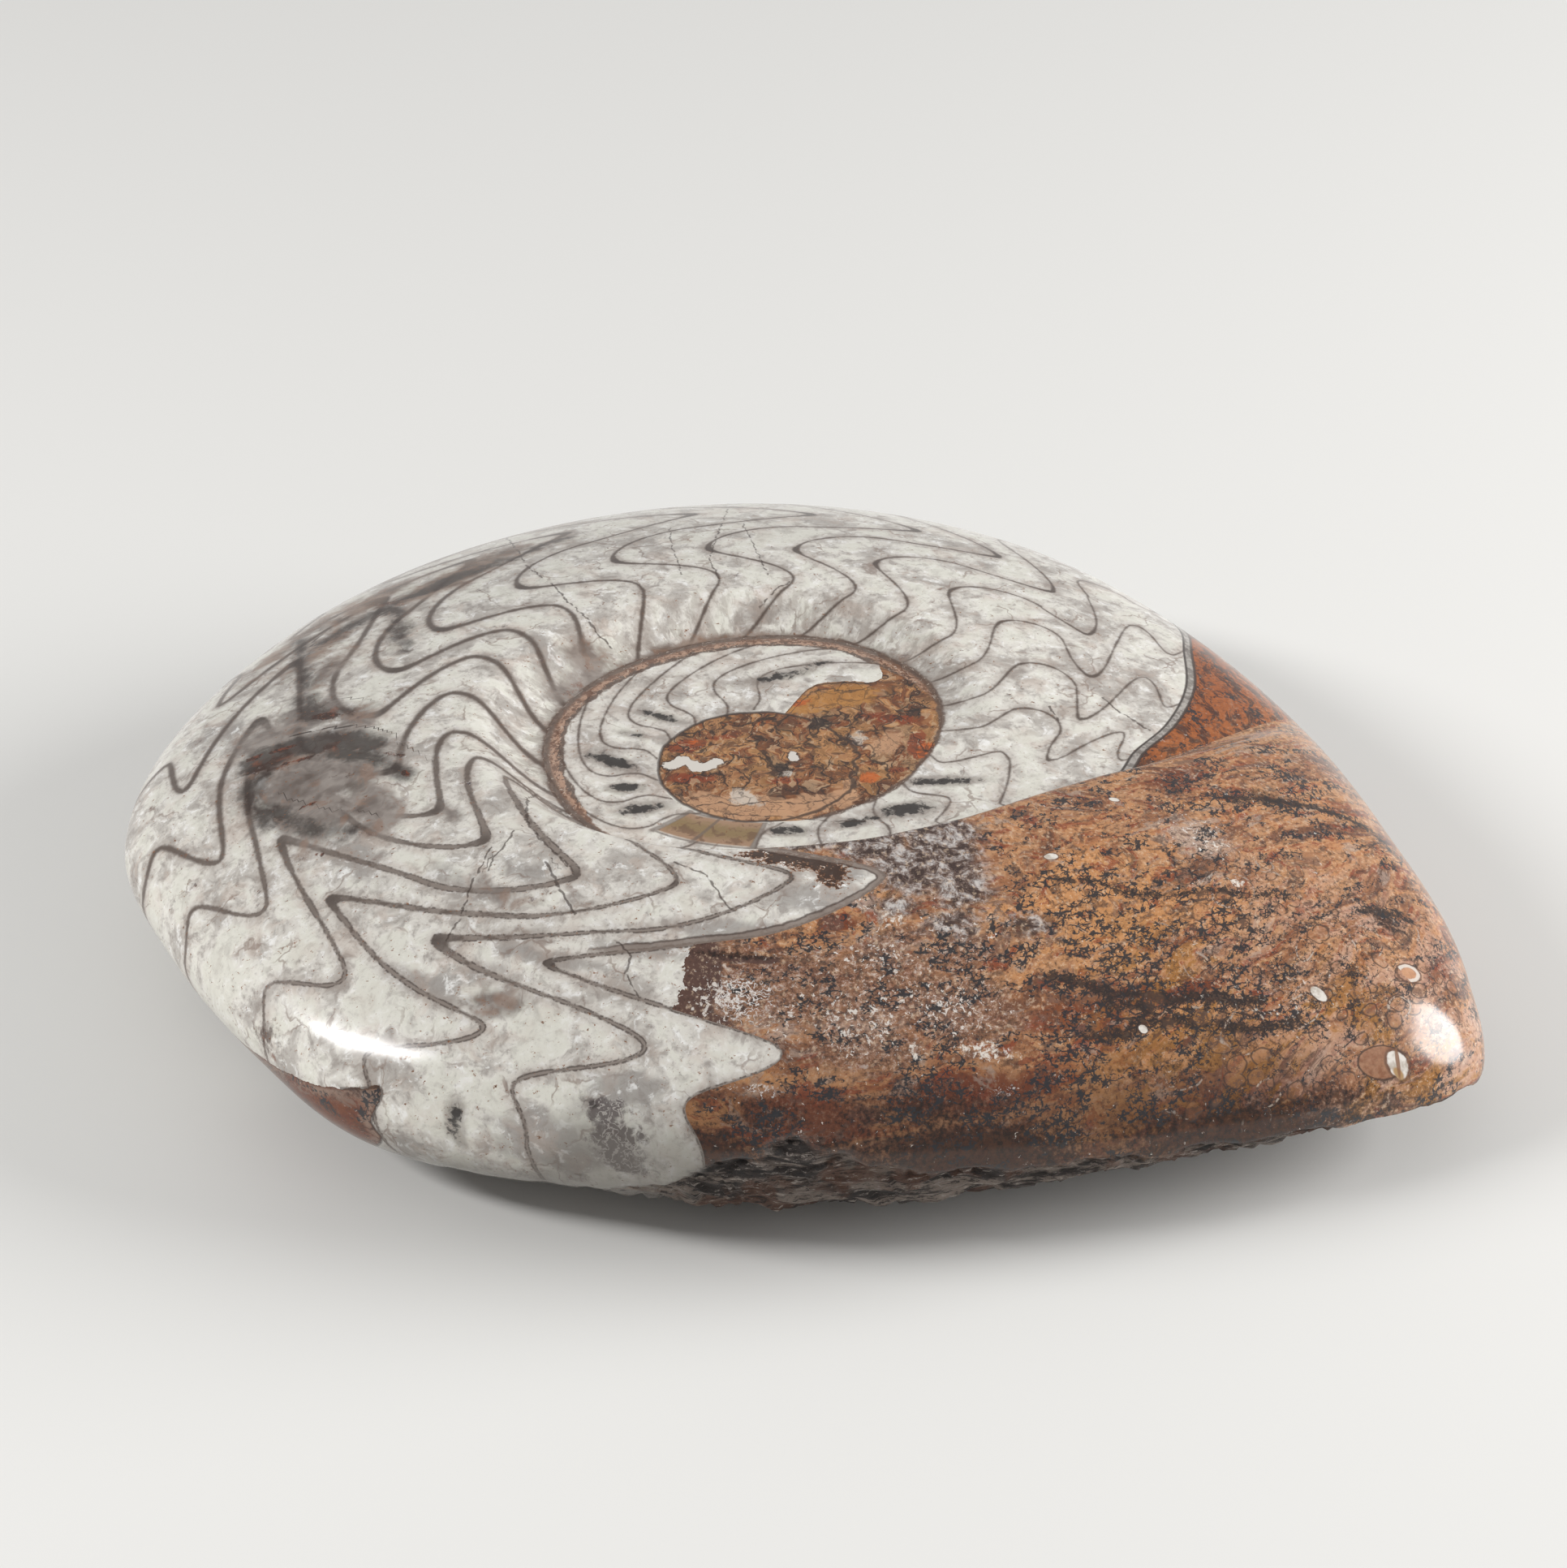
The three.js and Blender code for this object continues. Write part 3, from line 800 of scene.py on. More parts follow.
def mark(mesh, points, direction, radius, side, rough):
    """Writes the markings on the mesh as point attributes."""
    over = np.where(side > 0, outline_radius(direction) - 0.01, radius)
    coil, across = coil_place(direction, over)
    across = np.where(side > 0, 1 + side, across)
    to_suture, to_last = suture_distances(points, direction, radius, across)
    attributes = {
        "suture": to_suture,
        "last_suture": to_last,
        "inner_suture": inner_suture_distance(points, direction, radius),
        "across": across,
        "rough": rough,
        "tips": lobe_marks(coil, across),
        "rust_pocket": rust_pocket(points),
    }
    attributes.update((name, layer(coil, across, strokes)) for name, strokes in COIL_STAINS.items())
    attributes.update((name, blots(points, marks)) for name, marks in BLOTS.items())
    for name, values in attributes.items():
        mesh.attributes.new(name, "FLOAT", "POINT").data.foreach_set("value", values.astype(np.float32))
    for name, lines in LINES.items():
        offsets = line_offsets(points, lines)
        written = mesh.attributes.new(name, "FLOAT_VECTOR", "POINT")
        written.data.foreach_set("vector", offsets.astype(np.float32).ravel())


# ---- Shader arithmetic ----

# No curve that the shader looks up is higher than this. It is looked up as this many straight steps.
HIGHEST = 200.0
CURVE_STEPS = 120


class Field:
    """A number that varies over the surface. Plain arithmetic on it adds shader nodes."""

    def __init__(self, shader, socket):
        self.shader = shader
        self.socket = socket

    def __add__(self, other):
        return self.shader.math("ADD", self, other)

    def __sub__(self, other):
        return self.shader.math("SUBTRACT", self, other)

    def __rsub__(self, other):
        return self.shader.math("SUBTRACT", other, self)

    def __mul__(self, other):
        return self.shader.math("MULTIPLY", self, other)

    def __truediv__(self, other):
        return self.shader.math("DIVIDE", self, other)

    def __gt__(self, other):
        return self.shader.math("GREATER_THAN", self, other)

    def __lt__(self, other):
        return self.shader.math("LESS_THAN", self, other)

    def __abs__(self):
        return self.shader.math("ABSOLUTE", self)

    __radd__ = __add__
    __rmul__ = __mul__


class Shader:
    """A material's node tree, with a short way to add the nodes that the stone needs."""

    def __init__(self, name):
        self.material = bpy.data.materials.new(name)
        self.material.use_nodes = True
        self.nodes = self.material.node_tree.nodes
        self.links = self.material.node_tree.links
        self.nodes.clear()

    def node(self, kind, **settings):
        made = self.nodes.new(kind)
        for name, value in settings.items():
            setattr(made, name, value)
        return made

    def feed(self, socket, value):
        """Links or sets an input. A colour is given as seen on a screen, three numbers up to 255."""
        if isinstance(value, Field):
            self.links.new(value.socket, socket)
        elif isinstance(value, bpy.types.NodeSocket):
            self.links.new(value, socket)
        elif socket.type == "RGBA":
            socket.default_value = (*tint(value), 1)
        else:
            socket.default_value = value

    def fed(self, kind, *values, **settings):
        """A new node with its first inputs fed, in their order."""
        made = self.node(kind, **settings)
        for socket, value in zip(made.inputs, values):
            self.feed(socket, value)
        return made

    def math(self, operation, *values):
        return Field(self, self.fed("ShaderNodeMath", *values, operation=operation).outputs[0])

    def vector(self, operation, *values):
        made = self.fed("ShaderNodeVectorMath", *values, operation=operation)
        return made.outputs["Value" if operation in ("LENGTH", "DISTANCE") else "Vector"]

    def split(self, vector):
        """The x, y and z of a vector."""
        return [Field(self, out) for out in self.fed("ShaderNodeSeparateXYZ", vector).outputs]

    def length(self, x, y):
        return self.math("SQRT", x * x + y * y)

    def attribute(self, name):
        return Field(self, self.node("ShaderNodeAttribute", attribute_name=name).outputs["Fac"])

    def larger(self, one, other):
        return self.math("MAXIMUM", one, other)

    def smaller(self, one, other):
        return self.math("MINIMUM", one, other)

    def step(self, value, low, high):
        """0 below low, 1 above high and smooth between. With low above high it runs the other way."""
        made = self.fed("ShaderNodeMapRange", value, low, high, interpolation_type="SMOOTHSTEP")
        return Field(self, made.outputs[0])

    def band(self, value, middle, half, soft):
        """1 within half of middle, falling to 0 over soft."""
        return self.step(abs(value - middle), half + soft, half)

    def combine(self, x, y, z):
        return self.fed("ShaderNodeCombineXYZ", x, y, z).outputs[0]

    def sized(self, where, size, seed):
        """The place divided by a size in mm, one number or one for each axis, and shifted by a seed."""
        sizes = size if isinstance(size, tuple) else (size, size, size)
        shift = (seed * 7.31, seed * 3.17, seed * 5.93)
        return self.vector("MULTIPLY_ADD", where, tuple(1 / s for s in sizes), shift)

    def texture(self, kind, where, size, seed, **settings):
        """A noise or cell texture of some size in mm."""
        made = self.node(kind, **settings)
        self.feed(made.inputs["Vector"], self.sized(where, size, seed))
        made.inputs["Scale"].default_value = 1
        return made

    def noise(self, where, size, seed, detail=3.0, roughness=0.55, twist=0.0):
        made = self.texture("ShaderNodeTexNoise", where, size, seed)
        made.inputs["Detail"].default_value = detail
        made.inputs["Roughness"].default_value = roughness
        made.inputs["Distortion"].default_value = twist
        return Field(self, made.outputs["Fac"])

    def warp_vector(self, where, size, seed, amount):
        """A push in some direction from noise, of up to about the amount in mm."""
        made = self.texture("ShaderNodeTexNoise", where, size, seed)
        made.inputs["Detail"].default_value = 2
        return self.vector("MULTIPLY_ADD", made.outputs["Color"], (amount * 2,) * 3, (-amount,) * 3)

    def warped(self, where, size, seed, amount):
        """The place pushed about by noise."""
        return self.vector("ADD", where, self.warp_vector(where, size, seed, amount))

    def cells(self, where, size, seed, feature):
        return self.texture("ShaderNodeTexVoronoi", where, size, seed, feature=feature)

    def cell_edges(self, where, size, seed):
        """Distance to the nearest cell's edge, as a share of the cells' size."""
        return Field(self, self.cells(where, size, seed, "DISTANCE_TO_EDGE").outputs["Distance"])

    def cell_number(self, cell):
        """A cell's own number, from 0 to 1."""
        return Field(self, self.fed("ShaderNodeSeparateColor", cell.outputs["Color"]).outputs[0])

    def cell_value(self, where, size, seed):
        """A number from 0 to 1 that is one value over each cell."""
        return self.cell_number(self.cells(where, size, seed, "F1"))

    def from_cell(self, where, size, seed):
        """Where the place is in its cell, as x and y from the cell's middle, and the cell's own number."""
        cell = self.cells(where, size, seed, "F1")
        here = cell.inputs["Vector"].links[0].from_socket
        x, y, _ = self.split(self.vector("SUBTRACT", here, cell.outputs["Position"]))
        return x, y, self.cell_number(cell)

    def along(self, value, points, low, high):
        """A smooth curve's height at a value from low to high."""
        made = self.node("ShaderNodeFloatCurve")
        line = made.mapping.curves[0]
        for x in np.arange(CURVE_STEPS + 1) / CURVE_STEPS:
            y = float(curve(points, low + (high - low) * x)) / HIGHEST
            if x == 0:
                line.points[0].location = (x, y)
            elif x == 1:
                line.points[-1].location = (x, y)
            else:
                line.points.new(x, y)
        for point in line.points:
            point.handle_type = "VECTOR"
        made.mapping.update()
        self.feed(made.inputs["Value"], (value - low) / (high - low))
        return Field(self, made.outputs[0]) * HIGHEST

    def mix(self, colour, other, amount):
        made = self.node("ShaderNodeMix", data_type="RGBA")
        self.feed(made.inputs["Factor"], amount)
        self.feed(made.inputs["A"], colour)
        self.feed(made.inputs["B"], other)
        return made.outputs["Result"]

    def coats(self, colour, *coats):
        """A colour under coats of (colour, amount), one over the other."""
        for coat, amount in coats:
            colour = self.mix(colour, coat, amount)
        return colour

    def surface(self, colour, roughness, normal=None):
        made = self.node("ShaderNodeBsdfPrincipled")
        self.feed(made.inputs["Base Color"], colour)
        self.feed(made.inputs["Roughness"], roughness)
        made.inputs["IOR"].default_value = CALCITE_IOR
        if normal:
            self.feed(made.inputs["Normal"], normal)
        return made.outputs[0]

    def either(self, one, other, share):
        """One surface where share is 0 and the other where it is 1."""
        return self.fed("ShaderNodeMixShader", share, one, other).outputs[0]

    def show(self, surface):
        """Makes a surface the material's own."""
        self.fed("ShaderNodeOutputMaterial", surface)

    def ramp(self, value, stops):
        """Colours by value: stops of (value, colour)."""
        made = self.node("ShaderNodeValToRGB")
        elements = made.color_ramp.elements
        while len(elements) < len(stops):
            elements.new(0.5)
        for element, (at, colour) in zip(elements, stops):
            element.position = at
            element.color = (*tint(colour), 1)
        self.feed(made.inputs[0], value)
        return made.outputs[0]


def tint(screen_colour):
    """A colour given as seen on a screen, three numbers up to 255, as the shader wants it."""
    shares = [level / 255 for level in screen_colour]
    return tuple(x / 12.92 if x <= 0.04045 else ((x + 0.055) / 1.055) ** 2.4 for x in shares)


# ---- The stone ----

# Colours by a noise's value or a cell's number: (value, colour as seen on a screen).
LAYER_COLOURS = [
    (0.36, (108, 70, 50)), (0.43, (146, 98, 66)), (0.5, (174, 130, 94)),
    (0.56, (178, 126, 84)), (0.61, (148, 92, 60)), (0.68, (106, 62, 44)),
]
MIXED_COLOURS = [
    (0.38, (58, 46, 43)), (0.45, (96, 70, 58)), (0.51, (128, 88, 64)),
    (0.57, (146, 116, 100)), (0.65, (196, 184, 174)),
]
SEAM_COLOURS = [
    (0.38, (186, 180, 176)), (0.45, (144, 134, 129)), (0.5, (104, 86, 78)), (0.56, (62, 48, 44)),
]
HEART_COLOURS = [
    (0.0, (84, 54, 38)), (0.2, (126, 78, 46)), (0.4, (164, 118, 80)), (0.55, (140, 100, 62)),
    (0.7, (176, 128, 84)), (0.85, (116, 64, 36)), (1.0, (150, 116, 84)),
]
# Coats on the heart: (blots, colour, strength).
HEART_COATS = [
    ("peach_heart", (190, 148, 114), 0.8), ("ochre_heart", (172, 120, 62), 0.85),
    ("red_heart", (124, 54, 28), 0.85), ("orange_heart", (184, 92, 40), 0.85),
    ("dark_heart", (42, 37, 37), 0.85), ("white_heart", (196, 186, 174), 0.8),
]
# Size in mm of the heart's pieces.
HEART_PIECE = (4.5, 7, 5)


class Place:
    """Where a shaded point is on the fossil: in millimetres, on the coil and across it.

    seams are the radii of the coil's edge on its three laps in this direction, and first, second and
    third are 1 beyond them. out is the distance out from the inner edge of the point's own whorl.
    """

    def __init__(self, s):
        self.spot = s.vector("SCALE", s.node("ShaderNodeTexCoord").outputs["Object"])
        self.spot.node.inputs["Scale"].default_value = 1 / MM
        self.x, self.y, self.height = s.split(self.spot)
        self.radius = s.length(self.x, self.y)
        unrolled = (self.radius + FLOOR_HEIGHT - self.height) / s.larger(self.radius, 1.0)
        self.flat = s.combine(self.x * unrolled, self.y * unrolled, 0.0)
        around = s.math("DEGREES", s.math("ARCTAN2", self.y, self.x))
        self.turn = around + (around < FIRST_DIRECTION) * FULL_TURN
        self.place_on_coil(s)
        self.to_venter = s.along(self.turn, VENTER_EDGE, VENTER_EDGE[0][0], VENTER_EDGE[-1][0]) - self.radius
        self.by_venter = self.second * (1 - self.third) * (self.turn < 60) * (self.turn > -40)

    def place_on_coil(self, s):
        laps = (-FULL_TURN, 0.0, FULL_TURN)
        ends = FIRST_DIRECTION, FIRST_DIRECTION + FULL_TURN
        self.seams = [s.along(self.turn + lap, COIL_EDGE, ends[0] + lap, ends[1] + lap) for lap in laps]
        one, two, three = self.seams
        self.whorl = (self.radius > one) + (self.radius > two) + (self.radius > three)
        self.coil = self.turn + (self.whorl - 2) * FULL_TURN
        self.first, self.second, self.third = (self.whorl > number for number in (0.5, 1.5, 2.5))
        self.out = self.radius - (one + self.second * (two - one) + self.third * (three - two))
        self.flow = s.combine(self.coil * (math.pi / 180 * 70), self.out, self.height)


def calcite(s, place, line):
    """Colour of the white chambers without their sutures."""
    spot = place.spot
    loose = s.warped(spot, 5, 2, 2.5)
    clouds = s.noise(loose, 8, 1, 4, 0.6)
    wisps = s.noise(loose, 2.4, 3, 5, 0.64)
    fine = s.noise(spot, 0.9, 5, 3, 0.65)
    cream = s.step(clouds, 0.54, 0.42) * s.step(line, 0.9, 2.6)
    lively = 1 - cream * 0.6
    # grey clouds, and painted shade low on the front
    grey = s.step(s.attribute("grey_calcite") + (clouds - 0.5) * 1.2, 0.25, 0.75)
    warm = s.step(s.noise(loose, 6, 4, 3, 0.6), 0.52, 0.66)
    veins = s.cell_edges(s.warped(loose, 1.5, 9, 0.9), 11, 7)
    faint = s.step(s.noise(spot, 9, 8, 1), 0.5, 0.64)
    return s.coats(
        s.mix((222, 218, 210), (174, 168, 161), s.step(clouds, 0.45, 0.66)),
        ((212, 210, 199), cream * 0.8),
        ((154, 149, 144), grey * 0.85),
        ((142, 134, 128), s.step(wisps, 0.5, 0.68) * lively * 0.7),
        ((240, 239, 236), s.step(wisps, 0.47, 0.33) * lively * 0.75),
        ((184, 164, 150), warm * lively * 0.35),
        ((134, 127, 121), s.step(fine, 0.54, 0.72) * lively * 0.5),
        ((120, 98, 86), s.step(veins, 0.028, 0.008) * faint * 0.55),
    )


def wall_smears(s, place, white):
    """Grey-brown streaks that run down the wall of the umbilicus to the seam."""
    at_back = place.second * s.step(abs(place.turn - 115), 105, 70)
    streaky = s.combine(place.turn * 0.7, place.out * 0.4, 0.0)
    smears = s.noise(s.warped(streaky, 2, 15, 0.8), 1.7, 16, 4, 0.66)
    colour = s.mix((156, 147, 139), (112, 98, 88), s.step(place.out, 6, 1))
    streaks = s.step(smears + s.step(place.out, 15, 0) * 0.15, 0.54, 0.7)
    dark = s.step(place.out + (smears - 0.5) * 7, 1.3, 0.1)
    return s.coats(white, (colour, streaks * at_back * 0.5), ((104, 88, 78), dark * at_back * 0.7))


def stains(s, place, white):
    """The white chambers with smoke, rust and soot over them."""
    spot = place.spot
    broken = s.noise(s.warped(spot, 7, 21, 4), 6, 22, 3, 0.6) - 0.5
    ragged = s.noise(s.warped(spot, 2, 27, 1.2), 1.8, 28, 4, 0.65) - 0.5
    streaks = s.noise(s.warped(spot, 7, 23, 4), (9, 6, 6), 24, 3, 0.6)
    white = smoked(s, place, white, broken, ragged, streaks)
    white = rusted(s, place, white, broken, ragged, streaks)
    return sooted(s, place, white, broken, ragged)


def smoked(s, place, white, broken, ragged, streaks):
    """The white chambers under grey-brown smoke, which is darkest along the smears."""
    bands = s.step(near_line(s, place, "smears", 2.4, 25, 7) + ragged * 3 + broken * 6, 3.4, -1.4)
    smoke = s.larger(s.step(s.attribute("smoke") + broken * 1.1 + ragged * 0.2, 0.1, 0.62), bands)
    far_side = s.step(place.y, 22, 40)
    pale = s.mix((144, 135, 128), (142, 122, 108), far_side)
    deep = s.mix((112, 102, 96), (106, 84, 70), far_side)
    brown = s.step(streaks + ragged * 0.3 + s.step(place.y, -7, 0) * 0.14 + far_side * 0.1, 0.5, 0.6)
    colour = s.coats(
        s.mix(pale, deep, s.step(streaks, 0.4, 0.6)),
        ((76, 62, 54), s.step(streaks, 0.56, 0.7) * 0.6),
        ((136, 104, 84), s.step(broken, 0.06, 0.16) * 0.5),
        (s.mix((42, 31, 26), (40, 21, 12), brown), s.step(bands, 0.1, 0.85) * 0.92),
    )
    return s.mix(white, colour, smoke * 0.94)


def rusted(s, place, white, broken, ragged, streaks):
    """The white chambers under rust, small spots of it, and the brown patches of the last chamber."""
    rust = s.step(s.attribute("chamber_rust") * 0.8 + broken * 1.2 + ragged * 1.3, 0.42, 0.85)
    spots = s.step(s.attribute("rust_spots") + ragged * 1.8, 0.4, 0.7)
    crumbs = s.noise(s.warped(place.spot, 1.5, 30, 0.6), (0.9, 0.5, 0.7), 29, 4, 0.7) - 0.5
    patches = s.attribute("last_chamber_rust") * 1.1 + ragged * 1.2 + crumbs * 2.6
    patch_colour = s.mix((138, 88, 50), (52, 29, 16), s.step(patches, 0.5, 0.7))
    return s.coats(
        white,
        (s.mix((112, 62, 38), (58, 32, 20), s.step(streaks, 0.4, 0.52)), rust * 0.8),
        (s.mix((112, 54, 28), (52, 26, 15), s.step(ragged, -0.06, 0.06)), spots * 0.9),
        (patch_colour, s.step(patches, 0.38, 0.54) * 0.95),
    )


def sooted(s, place, white, broken, ragged):
    """The white chambers under soot, and under a dark lace with pale threads."""
    soot = s.larger(s.attribute("soot"), s.attribute("chamber_soot"))
    lace = s.step(s.attribute("lace") + ragged * 1.6 + broken * 1.6, 0.3, 0.75)
    threads = s.band(s.noise(s.warped(place.spot, 2, 26, 1.5), 1.6, 33, 2), 0.5, 0.012, 0.03)
    return s.coats(
        white,
        ((122, 110, 102), s.step(soot + ragged * 0.5, 0.0, 0.45) * 0.6),
        (s.mix((84, 74, 76), (190, 184, 178), threads * 0.8), lace * 0.9),
        ((38, 34, 33), s.step(soot + ragged * 1.7 + broken * 0.5, 0.42, 0.75) * 0.92),
    )


def olive_chambers(s, place, white):
    """Two chambers at the front of the inner whorl that are filled with olive brown."""
    clouded = s.noise(s.warped(place.flow, 5, 25, 2), (7, 1.8, 2), 26, 3, 0.5)
    lean = place.coil + place.out * 0.35
    middle = abs(lean + 111.5)
    across = abs(place.out - 3.6 - s.step(lean, -100, -135) * 1.2)
    inner = place.whorl < 1.5
    inside = s.step(middle, 15.6, 14.6) * inner * s.step(across, 4.0, 3.2)
    olive = s.mix((156, 126, 102), (134, 112, 80), s.step(across + (clouded - 0.5) * 4, 3.0, 0.6))
    olive = s.mix(olive, (104, 78, 60), s.step(clouded, 0.5, 0.62) * 0.7)
    walls = s.larger(s.band(middle, 15.8, 0.6, 0.9), s.band(lean, -114.5, 0.3, 0.7))
    sides = s.band(across, 4.0, 0.1, 0.3) * s.step(middle, 16, 15.5)
    edge = s.larger(walls * s.step(across, 4.8, 4.2), sides)
    return s.coats(white, (olive, inside), ((104, 92, 84), edge * inner * 0.7))


def sutures(s, place, white, line):
    """The white chambers with the suture walls drawn on them."""
    tips = s.attribute("tips")
    uneven = s.noise(place.spot, 3, 31, 4, 0.65) - 0.5
    crumbs = s.noise(place.spot, 0.7, 32, 2, 0.6) - 0.5
    front = s.step(place.coil, 180, 225)
    outside = s.step(s.attribute("across"), 0.6, 0.85) * front
    thin = s.larger(outside, s.step(place.coil, 230, 238))
    blurred = s.step(abs(place.coil - 165), 45, 15)
    half = 0.14 + s.step(place.coil, 40, 130) * 0.14 + blurred * 0.12 + front * 0.22 - thin * 0.24
    half = half + tips * (0.5 - thin * 0.45) + uneven * 0.6 + crumbs * 0.25
    wall = s.mix((80, 66, 58), (128, 117, 109), front * s.step(uneven, -0.15, 0.05))
    wall = s.mix(wall, (56, 44, 38), tips * 0.85)
    edge = s.band(line, half, 0.05, 0.2) * front * s.step(uneven + crumbs, -0.1, 0.1)
    return s.coats(
        white,
        ((146, 133, 124), s.step(line, 2.8, 0.2) * (0.38 + tips * 0.4 + uneven * 0.9)),
        (wall, s.step(line - half, 0.36 + blurred * 0.3, -0.2) * 0.9),
        ((66, 55, 50), edge * 0.75),
    )


def dendrites(s, place, size, seed):
    """Mask of small black stars with crooked arms, each in a cell of its own."""
    bent = s.warped(place.flat, size * 0.4, seed, size * 0.3)
    x, y, number = s.from_cell(bent, size, seed + 1)
    reach = s.length(x, y)
    arms = abs(s.math("SINE", s.math("ARCTAN2", y, x) * 2.5 + number * 6)) * reach
    return s.step(arms, 0.17, 0.09) * s.step(reach - number * 0.3, 0.34, 0.26)


def round_fossils(s, place, size, seed):
    """Distance in mm beyond the edge of a round fossil. Some of the stone's cells hold one."""
    x, y, number = s.from_cell(s.warped(place.flat, size, seed, size * 0.3), size, seed + 1)
    radius = s.smaller(number * 1.2 - 0.5, 0.4)
    return (s.length(x, y) - radius) * size + (number < 0.55) * 9


def limestone(s, place):
    """Colour of the brown filling."""
    flow = s.warped(s.warped(place.flow, 14, 41, 6), 3, 40, 1.6)
    layers = s.noise(flow, (24, 5, 6), 42, 5, 0.62)
    patchy = s.noise(flow, (2.8, 2.0, 2.3), 43, 5, 0.7)
    shift = (layers - 0.5) * 1.4 + (patchy - 0.5) * 0.6
    tones = s.noise(flow, (7, 4, 5), 64, 4, 0.66)
    red = s.noise(flow, (5, 2.2, 3), 49, 5, 0.7)
    pocket = s.attribute("rust_pocket")
    earthy = s.mix((192, 166, 148), (146, 74, 34), s.step(pocket + (patchy - 0.5) * 5, 0.4, 3.2))
    earthy = s.mix(earthy, (140, 106, 88), s.step(place.height + (layers - 0.5) * 8, 17, 13))
    wedge = place.by_venter * (place.to_venter < 0)
    embers = s.mix((156, 84, 32), (70, 35, 18), s.step(red, 0.47, 0.55))
    tip = s.step(place.x, 62, 100) * s.step(place.y, -15, -40)
    golden = s.step(place.x, 40, 66) * s.step(place.y, -44, -58)
    golden = golden * s.step(layers + s.step(place.y, -66, -76) * 0.07, 0.46, 0.53)
    frosted = s.step(s.attribute("pale_rock") + (patchy - 0.5) * 2.4, 0.35, 0.8)
    colour = s.coats(
        s.ramp(layers, LAYER_COLOURS),
        ((188, 134, 86), s.step(s.attribute("orange_rock") + shift, 0.25, 0.65) * 0.8),
        ((106, 50, 28), s.step(s.attribute("rust_rock") + shift, 0.3, 0.65) * 0.9),
        (earthy, s.step(pocket, 0, 0.6) * 0.8),
        ((98, 74, 66), s.step(tones, 0.56, 0.64) * 0.65),
        ((156, 140, 128), s.step(tones, 0.42, 0.35) * 0.6),
        ((128, 58, 34), s.step(red, 0.56, 0.6) * 0.75),
        (embers, wedge * 0.85),
        ((180, 144, 124), tip * s.step(tones, 0.56, 0.44) * 0.65),
        ((146, 100, 48), golden * s.step(tones, 0.44, 0.52) * 0.85),
        ((176, 156, 142), frosted * 0.75),
        ((76, 54, 44), s.step(patchy, 0.54, 0.61) * 0.68),
    )
    return special_rocks(s, place, colour, shift, patchy)


def special_rocks(s, place, colour, shift, patchy):
    """The filling where it is mixed, where it is chocolate brown, and where it is grey by the seam."""
    mixture = s.noise(s.warped(place.flat, 3, 66, 1.2), (1.3, 1.6, 1), 65, 5, 0.76)
    mottled = s.noise(s.warped(place.spot, 4, 61, 2.5), (2.6, 2.4, 2.4), 62, 5, 0.74)
    chocolate = s.step(s.attribute("chocolate_rock") + (patchy - 0.5) * 0.6, 0.3, 0.5)
    return s.coats(
        colour,
        (s.ramp(mixture, MIXED_COLOURS), s.step(s.attribute("mixed_rock") + shift, 0.2, 0.6) * 0.85),
        ((84, 60, 53), chocolate * 0.95),
        (s.ramp(mottled, SEAM_COLOURS), s.step(s.attribute("seam_rock") + shift * 0.9, 0.15, 0.7)),
    )


def limestone_marks(s, place, colour):
    """Grain, dendrites, veins and fossils over the brown filling, and painted shade on its low front wall.
    """
    grain = s.noise(place.spot, (0.85, 0.95, 0.85), 44, 4, 0.68)
    # The low side wall, fading out towards the tip: it thins the specks and dendrites there and carries
    # painted shade on the front.
    wall = s.step(s.attribute("across"), 0.75, 0.98) * s.step(place.x, 104, 72)
    near_tip = s.step(place.x, 50, 80) * s.step(place.y, -20, -40) * s.step(place.height, 18, 25)
    low = s.step(s.attribute("dark_rock") + (grain - 0.5) * 1.2, 0.25, 0.7)
    colour = s.coats(
        colour,
        ((60, 42, 34), s.step(grain, 0.53, 0.66) * 0.6),
        ((214, 188, 160), s.step(grain, 0.46, 0.34) * (0.45 - wall * 0.35)),
        # painted shade: the low front wall darkened to deep brown
        ((66, 38, 25), wall * (place.y < 0) * 0.55),
        # dark rock, and painted shade on the low front wall
        (s.mix((58, 33, 22), (32, 22, 18), s.step(grain, 0.45, 0.6)), low * 0.9),
    )
    colour = black_marks(s, place, colour, grain, wall, near_tip)
    frost = s.noise(s.warped(place.spot, 2, 81, 1), (0.9, 1.0, 0.9), 82, 4, 0.7)
    colour = frosting(s, place, colour, grain, frost)
    colour = outlined_fossils(s, place, colour, grain, near_tip)
    bits = s.step(s.attribute("shell_white") + (frost - 0.5) * 2.5, 0.35, 0.7)
    return s.mix(colour, (222, 214, 204), bits * 0.85)


def black_marks(s, place, colour, grain, wall, near_tip):
    """The brown filling with dendrites, small chips and veins on it."""
    veins = near_line(s, place, "veins", 1.3, 98)
    crowd = s.noise(place.flow, (7, 4.5, 5), 77, 4, 0.66) + s.attribute("dendrite_rock") * 0.14
    crowd = crowd - s.attribute("seam_rock") * 0.2 - s.attribute("chocolate_rock") * 0.3
    crowd = crowd + s.step(veins, 2.5, 0) * 0.12
    crowd = crowd - near_tip * 0.03 - wall * 0.04
    black = s.larger(dendrites(s, place, 4.0, 71), dendrites(s, place, 2.2, 73))
    chips = dendrites(s, place, 1.6, 75) * s.step(s.noise(place.flat, 3, 78, 2), 0.46, 0.52)
    return s.coats(
        colour,
        ((38, 40, 44), black * s.step(crowd, 0.51, 0.55) * 0.94),
        ((44, 42, 44), chips * (0.15 + near_tip * 0.7)),
        ((46, 36, 33), s.step(veins + (grain - 0.5) * 5, 0.35, -0.1) * 0.9),
    )


